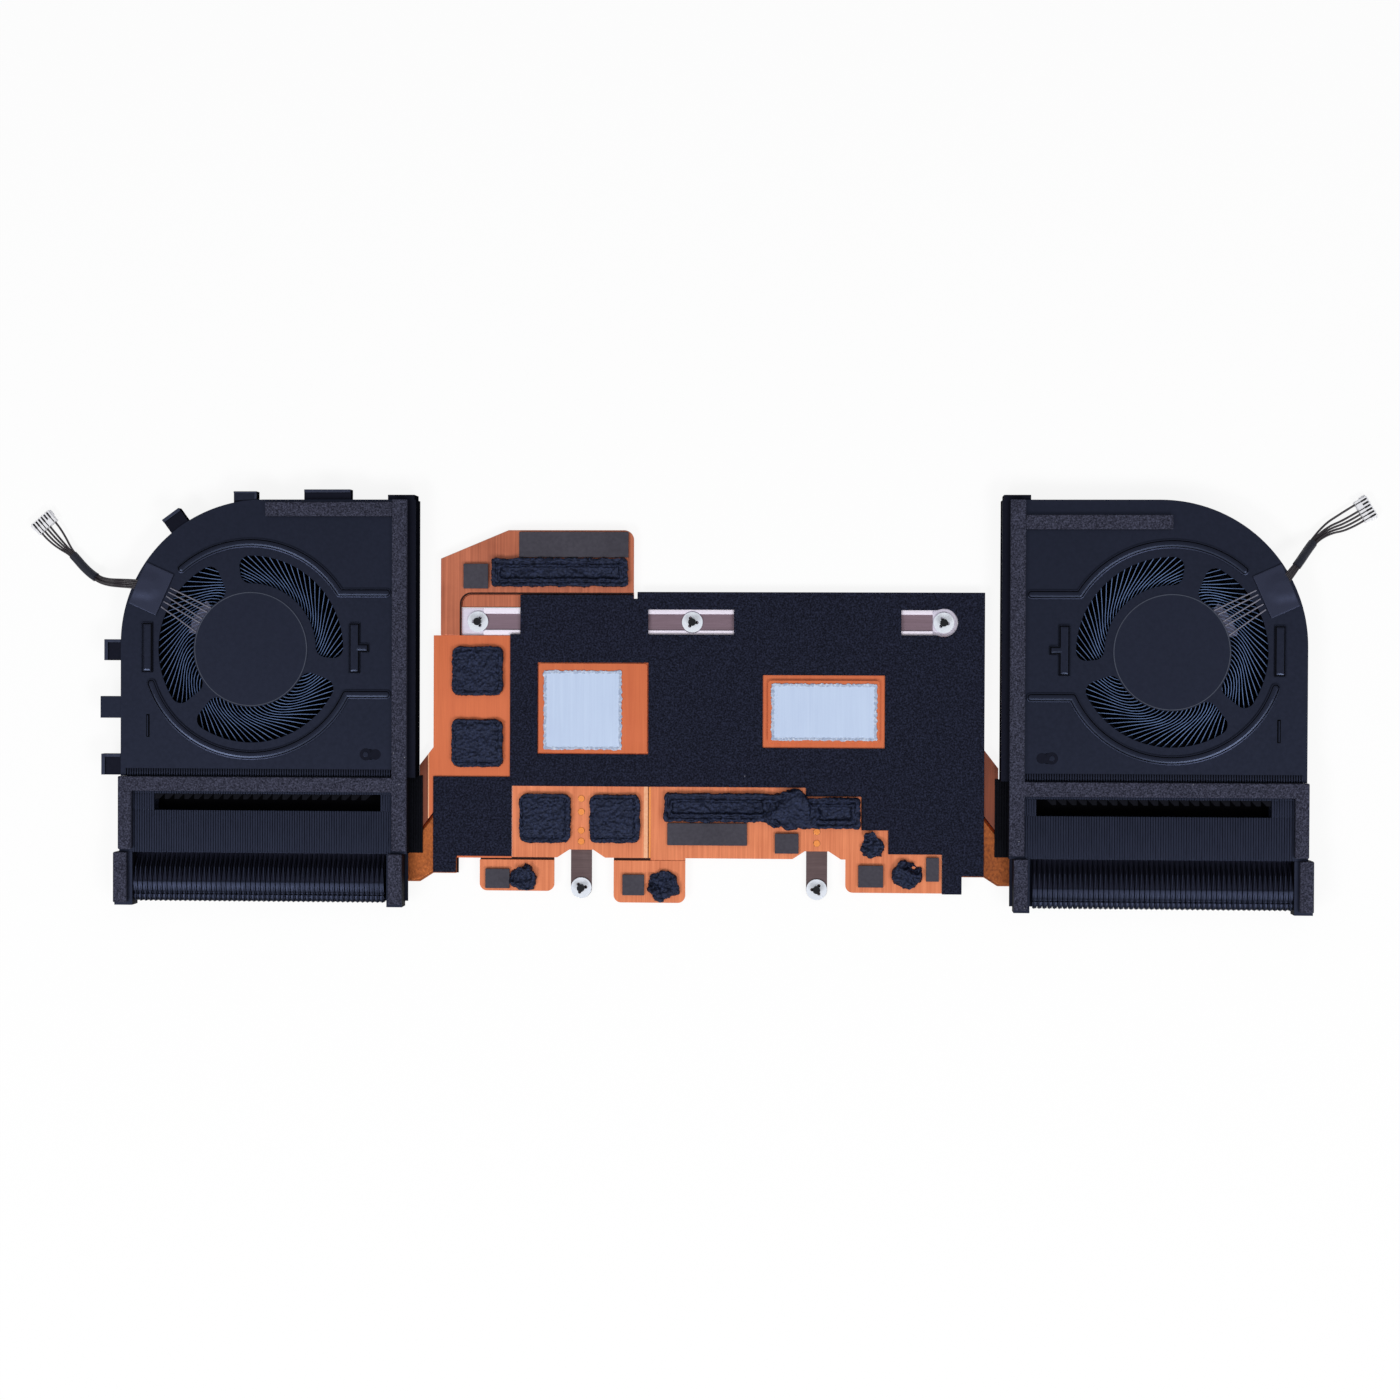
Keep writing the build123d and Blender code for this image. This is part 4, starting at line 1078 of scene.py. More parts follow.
@dataclass
class Fan(Sided):
    """One blower: base plate, impeller, label, leads, tape and the hidden motor."""

    blade_count: int = 79
    blade_t: float = 0.16
    blade_steps: int = 14
    blade_lean: float = 1.7
    blade_bend: Triple = (10.2, 19.0, 2.2)  # strength, middle radius and half width of the bend
    blade_r: Pair = (14.1, 29.5)
    blade_z: Pair = (1.2, 6.4)
    # Height of the band at the blades' tops that gets the painted highlight.
    blade_highlight_band: float = 0.2
    cup_r: float = 14.5
    cup_wall: float = 1.2
    cup_floor: float = 0.8
    cup_sides: int = 96
    cup_rings: tuple[Pair, ...] = ((2.4, 0), (0.3, -0.15), (6.5, 0), (0.4, -0.2))
    cup_edge: float = 0.25
    plate_edge: float = 0.08
    bead_z: float = 7.9
    bead_rings: tuple[Pair, ...] = ((0.26, 0.08), (0.26, 0.19), (0.42, 0.1))
    rib_rings: tuple[Pair, ...] = ((0.1, 0.08), (0.2, 0.29))
    rib_area: float = 8.0
    label_r: float = 15.35
    label_z: float = 7.5
    label_t: float = 0.1
    label_line: float = 0.2
    label_sides: int = 128
    glue_r: Pair = (15.1, 17.3)
    glue_arc: Pair = (133.0, 165.0)
    glue_z: Pair = (7.35, 7.62)
    glue_steps: int = 14
    glue_cuts: int = 3
    glue_rim: float = 0.1
    glue_ragged: float = 0.9
    glue_thin: float = 0.2
    frame_edge: float = 0.12
    # Height of the hooks' floors, which get the painted shade.
    hook_z: float = 7.0
    lip_z: Pair = (6.95, 7.45)
    lip_edge: float = 0.1
    # Depth of the band at the lips' tops that gets the painted highlight.
    lip_highlight_band: float = 0.12
    lips: tuple[Quad, ...] = (  # two corners each: x, y, x, y
        (-39.6, -3.1, -38.6, 2.5), (-38.6, 1.7, -35.2, 2.5), (-40.4, -33.7, -39.4, -28.1),
        (-39.4, -28.9, -35.2, -28.1), (-4.7, 41.5, 1.5, 42.0), (0.9, 40.0, 1.5, 41.5), (14.3, 41.7, 26.7, 42.5),
    )
    skins: tuple[Quad, ...] = ((-40.7, -18.5, -35.0, -12.7), (-4.7, 39.7, 1.5, 41.6))
    skin_z: Pair = (6.95, 7.07)
    skin_edge: float = 0.03
    scroll_lip: Triple = (3.2, 1.5, 126.0)  # middle of its arc, turn in degrees
    scroll_lip_r: Pair = (41.7, 42.6)
    scroll_lip_half: float = 2.75
    tape_at: Triple = (-26.8, 16.0, -24.0)  # middle, turn in degrees
    tape_size: Pair = (8.1, 12.0)
    tape_cuts: tuple[int, int] = (20, 30)
    tape_z: Triple = (7.5, 8.05, 8.4)  # underside, top, top of the hump
    tape_edge: float = 0.12
    hump: tuple[Pair, Pair] = ((-27.5, 16.8), (-32.5, 17.6))
    hump_half: float = 1.4
    hump_fade: float = 3.2
    stake: tuple[Triple, ...] = ((31.0, 1.6, 7.6), (33.6, 1.4, 7.58), (31.0, 0.7, 7.74), (32.2, 1.3, 7.5))
    stake_y: float = -27.9
    stake_sides: int = 32
    stake_edge: float = 0.07
    # Up faces of the post below this height get the painted shade of its dimples.
    stake_shade_top: float = 7.65
    cover_t: float = 0.4

    def build(self) -> None:
        """Make the pieces that show and dress the rest."""
        self.build_plate()
        self.build_stake()
        self.build_impeller()
        self.build_label()
        self.build_glue()
        self.build_tape()
        self.build_frame()
        self.dress()

    def build_plate(self) -> None:
        """Base plate whose pressed beads have a gentle foot, a steep wall and a gentle crest; the walls get a painted
        shade and the crests that face the lamps a painted highlight.
        """
        node = self.node("fan_base_plate")
        plate = node_copy(node, self.node("pressed_plate"))
        top = self.bead_z * MM - HAIR
        limit = self.rib_area * MM * MM
        height = sum(rise for _, rise in self.bead_rings)
        with editing(plate):
            for wide, rings in ((True, self.bead_rings), (False, self.rib_rings)):
                choose(Pick.FACES, lambda face: faces_up(face) and abs(spot(face).z - top) < 5 * HAIR
                       and (face.calc_area() > limit) == wide)
                for width, rise in rings:
                    inset(width)
                    shift(z=rise)
            choose(Pick.CORNERS, lambda corner: corner.co.z > top)
            shift(z=-height)
        deliver(ease(plate, self.plate_edge), BLACK_COAT, node, angle=12)
        foot = (self.bead_z - height) * MM
        # Painted shade: the beads' steep walls are painted near black.
        paint(plate, BEAD_WALL_PAINTED_SHADE, lambda face: face.normal.z > 0.05 and not faces_up(face) and spot(face).z > foot)
        # Painted highlight: the crests facing -Y, towards the lamps, get the lighter, glossier copy.
        paint(plate, BEAD_CREST_PAINTED_HIGHLIGHT, lambda face: faces_up(face) and face.normal.y < -0.1 and spot(face).z > foot)

    def build_stake(self) -> None:
        """Post at the outlet, with the pin of its staked end and two low discs whose tops are painted dark as the shade
        in its two dimples.
        """
        parts = []
        feet = [self.label_z] * (len(self.stake) - 1) + [self.cover_t]
        for (x, radius, top), low in zip(self.stake, feet):
            parts.append(ease(disc("stake", self.at(x, self.stake_y, low), radius, top - low, self.stake_sides),
                              self.stake_edge))
        post = deliver(join(self.node("staked_post"), parts), BLACK_COAT, self.node("outlet_post"))
        # Painted shade: the two discs' tops are painted dark.
        paint(post, RECESS_PAINTED_SHADE, lambda face: faces_up(face) and spot(face).z < self.stake_shade_top * MM)

    def camber(self, share: float) -> Vector:
        """Point of a blade's S-shaped middle line.

        Args:
            share: Share of the way from the blade's root to its tip.

        Returns:
            The point in the frame, in millimetres.
        """
        root, tip = self.blade_r
        radius = root + (tip - root) * share
        bend, middle, half = self.blade_bend
        bent = math.atan((radius - middle) / half) - math.atan((root - middle) / half)
        turn = math.radians(self.blade_lean * (radius - root) + bend * bent)
        return Vector(self.at(radius * math.cos(turn), radius * math.sin(turn), 0))

    def build_impeller(self) -> None:
        """Hub cup with its ring of thin swept blades, whose top faces get a painted highlight."""
        points = [self.camber(step / self.blade_steps) for step in range(self.blade_steps + 1)]
        start, first = points[:2]
        inward = self.side.inward
        low, high = self.blade_z
        blade = block("blade", (start.x, start.y, low), (start.x + inward, start.y + self.blade_t, high))
        with editing(blade):
            choose(Pick.FACES, lambda face: face.normal.y > -SQUARE)
            bpy.ops.mesh.delete(type="FACE")
            far = (start.x + inward / 2) * MM
            choose(Pick.EDGES, lambda edge: all((corner.co.x - far) * inward > 0 for corner in edge.verts))
            shift(*(first - start - Vector((inward, 0, 0))))
            for before, after in zip(points[1:], points[2:]):
                pull(after - before)
        shape(blade, "SOLIDIFY", thickness=self.blade_t * MM, offset=0)
        with editing(blade):
            face_out()
            turn = 2 * math.pi * (self.blade_count - 1) / self.blade_count
            bpy.ops.mesh.spin(steps=self.blade_count - 1, dupli=True, angle=turn, center=self.point(0, 0, 0),
                              axis=(0, 0, 1))
        impeller = join(self.node("blade_wheel"), [self.build_cup(), blade])
        deliver(impeller, BLADE_SIDE, self.node("impeller"), self.node("rotor"), angle=40)
        # Painted highlight: the blades' top faces are painted light blue.
        edge = (high - self.blade_highlight_band) * MM
        paint(impeller, BLADE_TOP_HIGHLIGHT, lambda face: face.normal.z > 0.8 and spot(face).z > edge)

    def build_cup(self) -> Item:
        """Hub cup, open towards the base plate, with a rounded foot and shallow rings on it.

        Returns:
            The cup.
        """
        low, high = self.blade_z
        cup = disc("cup", self.at(0, 0, low), self.cup_r, high - low, self.cup_sides)
        with editing(cup):
            choose(Pick.FACES, lambda face: spot(face).z > high * MM - HAIR)
            inset(self.cup_wall)
            pull((0, 0, self.cup_floor - (high - low)))
            choose(Pick.FACES, lambda face: spot(face).z < low * MM + HAIR)
            for width, depth in self.cup_rings:
                inset(width, depth)
        return ease(cup, self.cup_edge)

    def build_label(self) -> None:
        """Bare label with one thin line round it."""
        label = disc(self.node("bare_label"), self.at(0, 0, self.label_z), self.label_r, self.label_t,
                     self.label_sides)
        top = (self.label_z + self.label_t) * MM - HAIR / 10
        with editing(label):
            choose(Pick.FACES, lambda face: spot(face).z > top)
            inset(self.label_line)
            inset(self.label_line)
        deliver(label, LABEL, self.node("hub_label"))
        hub = self.point(0, 0, 0)
        inner, outer = ((self.label_r - count * self.label_line) * MM for count in (2, 1))
        paint(label, LABEL_LINE, lambda face: spot(face).z > top and inner < (spot(face) - hub).xy.length < outer)

    def build_glue(self) -> None:
        """Clear glue where the leads reach the label: a thin ragged film along its edge."""
        (near, far), (start, stop), (low, high) = self.glue_r, self.glue_arc, self.glue_z
        inward = self.side.inward
        film = self.block(self.node("lead_glue"), (near, 0, low), (far, -1, high))
        hub = self.point(0, 0, 0)
        with editing(film):
            choose(Pick.FACES, lambda face: face.normal.y < SQUARE)
            bpy.ops.mesh.delete(type="FACE")
            choose_all()
            bpy.ops.mesh.subdivide(number_cuts=self.glue_cuts)
            bpy.ops.transform.rotate(value=-inward * math.radians(start), orient_axis="Z", center_override=hub)
            bpy.ops.mesh.spin(steps=self.glue_steps, angle=-inward * math.radians(stop - start), center=hub,
                              axis=(0, 0, 1), dupli=False)
            choose_all()
            bpy.ops.mesh.remove_doubles(threshold=1e-6)
            bpy.ops.mesh.fill_holes(sides=0)
            bpy.ops.mesh.normals_make_consistent(inside=False)
            choose(Pick.CORNERS, lambda corner: (corner.co - hub).xy.length > (far - self.glue_rim) * MM)
            bpy.ops.transform.vertex_random(offset=self.glue_ragged * MM, uniform=0.6, seed=5)
            choose(Pick.CORNERS, lambda corner: not low * MM < corner.co.z < high * MM)
            bpy.ops.transform.resize(value=(1, 1, self.glue_thin), center_override=(0, 0, low * MM))
        deliver(shape(film, "SUBSURF", levels=1, render_levels=1), GLUE, angle=60)

    def build_tape(self) -> None:
        """Tape stuck over the leads and the first of the wires, with a hump along the wires."""
        x, y, turn = self.tape_at
        low, flat, crest = self.tape_z
        tape = sheet(self.node("lead_tape"), Vector(self.tape_size) * MM, self.tape_cuts)
        lay(tape, self.side.inward * math.radians(turn), self.point(x, y, flat))
        first, last = (self.point(*end, flat) for end in self.hump)

        def over_wires(corner: bmesh.types.BMVert) -> bool:
            """Whether a corner lies over the wires.

            Args:
                corner: The corner.

            Returns:
                True where it does.
            """
            share = (corner.co - first).dot(last - first) / (last - first).length_squared
            near = first + (last - first) * min(1, max(0, share))
            return (corner.co - near).length < self.hump_half * MM

        with editing(tape):
            choose(Pick.CORNERS, over_wires)
            bpy.ops.transform.translate(value=(0, 0, (crest - flat) * MM), use_proportional_edit=True,
                                        proportional_edit_falloff="SMOOTH", proportional_size=self.hump_fade * MM)
        shape(tape, "SOLIDIFY", thickness=(flat - low) * MM, offset=-1)
        deliver(ease(tape, self.tape_edge), TAPE, self.node("cable_tape"))

    def build_frame(self) -> None:
        """Moulded scroll wall with soft edges, and on the left fan the lips of its hooks; painted shade on its upright
        faces and hook floors, and a painted highlight on the lips' tops.
        """
        node = self.node("fan_frame")
        frame = ease(node_copy(node, self.node("moulded_frame")), self.frame_edge)
        lips = self.build_lips() if self.side is Side.LEFT else []
        deliver(join(frame.name, [frame, *lips]), BLACK_MOULDING, node)
        # Painted shade: upright faces get the darker, glossless copy.
        paint(frame, WALL_PAINTED_SHADE, lambda face: abs(face.normal.z) < STEEP)
        level, crest = self.hook_z * MM, (self.lip_z[1] - self.lip_highlight_band) * MM
        # Painted shade: the hooks' recessed floors are painted darker.
        paint(frame, RECESS_PAINTED_SHADE, lambda face: faces_up(face) and abs(spot(face).z - level) < 2 * HAIR)
        # Painted highlight: the lips' tops are painted lighter.
        paint(frame, LIP_PAINTED_HIGHLIGHT, lambda face: face.normal.z > STEEP and spot(face).z > crest)

    def build_lips(self) -> list[Item]:
        """Raised lips along the edges of the hooks and thin skins over two of them.

        Returns:
            The lips and skins, one by one.
        """
        parts = []
        for rows, (low, high), edge in ((self.lips, self.lip_z, self.lip_edge),
                                        (self.skins, self.skin_z, self.skin_edge)):
            for x0, y0, x1, y1 in rows:
                parts.append(ease(self.block("lip", (x0, y0, low), (x1, y1, high)), edge))
        x, y, turn = self.scroll_lip
        (near, far), (low, high), half = self.scroll_lip_r, self.lip_z, self.scroll_lip_half
        lip = ease(block("lip", (near, -half, low), (far, half, high)), self.lip_edge)
        return [*parts, lay(lip, math.radians(turn), self.point(x, y, 0))]

    def dress(self) -> None:
        """Give the pieces that keep their CAD shape their finishes."""
        finishes = {"fan_cover": BLACK_COAT, "rotor_magnet": MAGNET, "rotor_shaft": STEEL,
                    "bearing_sleeve": BEARING, "stator": STEEL, "motor_board": BOARD, "motor_leads": LEAD}
        for base, finish in finishes.items():
            dress_node(self.node(base), finish)


# Fin banks and seals


@dataclass
class FinBank(Sided):
    """Folded fins behind a fan outlet, with end channels, a slot with teeth and a stepped rear."""

    pitch: float = 1.33
    start: float = -31.9
    stop: float = 36.6
    front: float = -34.2
    step: float = -54.3
    back: float = -67.4
    foot: float = 2.4
    top: float = 7.5
    valley: float = 3.2
    rear: float = 7.1
    slope_end: float = -62.35
    flange_t: float = 0.22
    flange_gap: float = 0.1
    flange_stop: float = 38.2
    wall_t: float = 0.2
    slot: Quad = (-25.9, 35.0, -38.6, -43.0)  # left, right, front, back
    # Heights of the block whose top is painted black as the shade at the slot's floor.
    slot_floor: Pair = (2.6, 3.4)
    slot_z: Triple = (0, 5.5, 7.2)  # heights between which the slot is painted black, then dark, as its shade
    tooth: Pair = (2.65, 1.5)  # pitch, depth
    tooth_z: Pair = (6.8, 7.1)
    rear_profile: tuple[Pair, ...] = (
        (-54.35, 3.2), (-61.95, 7.0), (-62.35, 7.1), (-63.2, 6.9), (-64.5, 6.72), (-64.9, 6.25), (-65.25, 6.2),
        (-65.65, 6.5), (-66.4, 6.36), (-67.05, 6.1), (-67.38, 5.6),
    )
    fold_edge: float = 0.06
    channels: tuple[Quad, ...] = (  # left, right, front, back
        (-35.5, -31.9, -34.2, -54.3), (37.9, 42.1, -34.2, -54.3), (-36.8, -31.9, -54.3, -68.5),
        (36.6, 40.8, -54.3, -68.5),
    )
    channel_t: float = 0.4
    channel_edge: float = 0.08
    sole: Triple = (-35.0, 41.6, -67.2)  # left, right, back
    sole_t: float = 0.15
    foot_x: Pair = (41.7, 45.5)
    foot_front: float = -33.6
    foot_t: Pair = (0.2, 0.4)
    foot_ribs: int = 6
    foot_rib: float = 0.46
    foot_edge: float = 0.1
    # Block under the outlet comb; its top is painted black as the shade in the comb's gaps.
    outlet: Triple = (-34.0, -31.9, -33.95)  # left, front, back
    outlet_z: Pair = (7.45, 7.52)
    comb_t: float = 0.1
    comb_gap: float = 0.26

    def build(self) -> None:
        """Make the fins and all that is soldered to them."""
        parts = [self.build_walls(), *self.build_flanges(), self.build_slot_shade_block(), self.build_teeth(), self.build_rear()]
        for edges in self.channels:
            parts += self.build_channel(*edges)
        bank = join(self.node("fin_bank"), parts + self.build_feet())
        deliver(bank, FIN_COAT, self.node("fin_stack"), angle=40)
        self.dress(bank)

    def dress(self, bank: Item) -> None:
        """Paint shade on the fins' upright faces, the ribbed foot, the slot with its teeth and the gaps of the outlet
        comb, and paint light on the rear slope.

        Args:
            bank: The finished fins.
        """
        inward, hub = self.side.inward, self.point(0, 0, 0)
        edge = self.foot_x[0] * MM - 5 * HAIR
        # Painted shade: upright faces and the low ribbed foot beside the fins.
        paint(bank, FIN_PAINTED_SHADE, lambda face: abs(face.normal.x) > 0.7 or (spot(face).x - hub.x) * inward > edge)
        lines = (*self.outlet[1:], *self.slot[2:], self.step, self.slope_end)
        front, back, near, far, step, crest = (self.point(0, y, 0).y for y in lines)
        level = self.outlet_z[1] * MM
        # Painted shade: the outlet block's top, seen through the comb's gaps, is painted black.
        paint(bank, SLOT_PAINTED_SHADE, lambda face: faces_up(face) and back < spot(face).y < front
              and abs(spot(face).z - level) < HAIR)
        # Painted shade: black deep in the slot, dark on its teeth.
        for finish, low, high in zip((SLOT_PAINTED_SHADE, FIN_PAINTED_SHADE), self.slot_z, self.slot_z[1:]):
            paint(bank, finish, lambda face: low * MM < spot(face).z < high * MM
                  and far - 10 * HAIR < spot(face).y < near + 10 * HAIR)
        # Painted light: the rear slope's strips are painted lighter against the shade that the step casts on them.
        paint(bank, SLOPE_PAINTED_LIGHT, lambda face: face.normal.y > STEEP and face.normal.z > 0.5
              and crest < spot(face).y < step)

    @property
    def count(self) -> int:
        """Number of fins."""
        return int((self.stop - self.start) / self.pitch)

    def row(self, item: Item, count: int, pitch: float) -> Item:
        """Copies of a piece towards the middle of the module."""
        return repeat(item, count, self.side.inward * pitch)

    def build_walls(self) -> Item:
        """Upright walls of the fins, cut along the rear slope.

        Returns:
            The walls, as one object.
        """
        x = self.start + self.pitch / 2
        end = x + self.wall_t
        _, _, near, far = self.slot
        walls = [self.block("wall", (x, y0, self.foot), (end, y1, self.top - self.flange_t))
                 for y0, y1 in ((self.front, near), (far, self.step))]
        rear = self.block("wall", (x, self.step, self.foot), (end, self.back, self.rear - self.flange_t))
        run, rise = self.slope_end - self.step, self.rear - self.valley
        with editing(rear):
            cut(self.point(x, self.step, self.valley - self.flange_t), (0, rise, -run), use_fill=True, clear_outer=True)
        return self.row(join("walls", [*walls, rear]), self.count, self.pitch)

    def flange(self, x0: float, x1: float, y0: float, y1: float, top: float, thick: float, gap: float) -> Item:
        """Row of narrow flanges between two ends, two to a fin.

        Args:
            x0: Start of the row, towards the outer side.
            x1: End of the row.
            y0: Front of the flanges.
            y1: Back of the flanges.
            top: Height of their upper face.
            thick: Their thickness.
            gap: Space between two of them.

        Returns:
            The row, as one object.
        """
        pitch = self.pitch / 2
        strip = self.block("flange", (x0, y0, top - thick), (x0 + pitch - gap, y1, top))
        return self.row(ease(strip, thick * 0.4), max(1, round((x1 - x0) / pitch)), pitch)

    def build_flanges(self) -> list[Item]:
        """Flat top of the fins, with the long slot left open, and at the fan's outlet a comb of flanges over a thin
        block whose top is painted black as the shade in the comb's gaps.

        Returns:
            The rows of flanges, the block under the comb, and the comb.
        """
        left, right, near, far = self.slot
        start, stop = self.start, self.flange_stop
        ends = ((start, stop, self.front, near), (start, stop, far, self.step), (start, left, near, far),
                (right, stop, near, far))
        rows = [self.flange(*end, self.top, self.flange_t, self.flange_gap) for end in ends]
        start, y0, y1 = self.outlet
        low, high = self.outlet_z
        # Its top is painted black later, as the shade in the gaps of the comb above it.
        fold = self.block("outlet", (start, y0, low), (stop, y1, high))
        return [*rows, fold, self.flange(start, stop, y0, y1, self.top + self.comb_t, self.comb_t, self.comb_gap)]

    def build_feet(self) -> list[Item]:
        """Sole under the fins and the ribbed foot beside them.

        Returns:
            The sole, the foot and its ribs.
        """
        x0, x1, y1 = self.sole
        sole = self.block("sole", (x0, self.front, self.foot), (x1, y1, self.foot + self.sole_t))
        near, far = self.foot_x
        spans = zip((far, near + self.foot_rib), self.foot_t)
        base, rib = (self.block("foot", (near, self.foot_front, self.foot), (end, self.step, self.foot + thick))
                     for end, thick in spans)
        pitch = (far - near - self.foot_rib) / (self.foot_ribs - 1)
        return [sole, base, self.row(ease(rib, self.foot_edge), self.foot_ribs, pitch)]

    def build_slot_shade_block(self) -> Item:
        """Block at the slot's floor, its top painted black as the shade deep in the slot.

        Returns:
            The block.
        """
        left, right, near, far = self.slot
        low, high = self.slot_floor
        return self.block("slot_shade_block", (left, near, low), (right, far, high))

    def build_teeth(self) -> Item:
        """Folded teeth along the front edge of the slot.

        Returns:
            The teeth, as one object.
        """
        left, right, near, _ = self.slot
        pitch, deep = self.tooth
        low, high = self.tooth_z
        tooth = self.block("tooth", (left, near, low), (left + pitch, near - deep, high))
        normal = (self.side.inward * deep, -pitch, 0)
        with editing(tooth):
            cut(self.point(left + pitch, near, 0), normal, use_fill=True, clear_outer=True)
        return self.row(ease(tooth, self.fold_edge, 1), int((right - left) / pitch), pitch)

    def build_rear(self) -> Item:
        """Bent strips over the rear of the fins: the slope, the bright band, a groove and a round edge.

        Returns:
            The strips, as one object.
        """
        (y0, z0), (y1, z1) = self.rear_profile[:2]
        x = self.start + self.flange_gap / 2
        strip = self.block("strip", (x, y0, z0 - self.flange_t), (x + self.pitch - 2 * self.flange_gap, y1, z0))
        end = self.point(0, y1, 0).y + HAIR
        with editing(strip):
            choose(Pick.FACES, lambda face: not faces_up(face))
            bpy.ops.mesh.delete(type="FACE")
            choose(Pick.EDGES, lambda edge: all(corner.co.y < end for corner in edge.verts))
            shift(z=z1 - z0)
            for (ya, za), (yb, zb) in zip(self.rear_profile[1:], self.rear_profile[2:]):
                pull((0, yb - ya, zb - za))
            face_out()
        shape(strip, "SOLIDIFY", thickness=self.flange_t * MM, offset=-1)
        return self.row(ease(strip, self.fold_edge, 2, 60), self.count, self.pitch)

    def build_channel(self, x0: float, x1: float, y0: float, y1: float) -> list[Item]:
        """Folded end channel: a top strip on two upright walls.

        Args:
            x0: Its outer side.
            x1: Its side towards the middle of the module.
            y0: Its front.
            y1: Its back.

        Returns:
            The strip and the walls.
        """
        thick, fold = self.channel_t, self.top - self.channel_t
        spans = ((x0, x1, fold, self.top), (x0, x0 + thick, self.foot, fold), (x1 - thick, x1, self.foot, fold))
        return [ease(self.block("channel", (a, y0, low), (b, y1, high)), self.channel_edge)
                for a, b, low, high in spans]


@dataclass
class Seals:
    """Foam strips, bars and blocks round the fan outlets and over the spreader."""

    soft_edge: float = 0.3
    sheet_edge: float = 0.12

    def build(self) -> None:
        """Make each foam piece with soft edges."""
        for side in Side:
            for base in ("outlet_gasket", "intake_foam", "end_foam_blocks"):
                node = side.node(base)
                soften(node, f"soft_{node}", self.soft_edge, SEAL_FOAM, 3)
        soften("insulation_sheet", "foam_sheet", self.sheet_edge, SHEET_FOAM)


# Spreader, plates and spring hardware


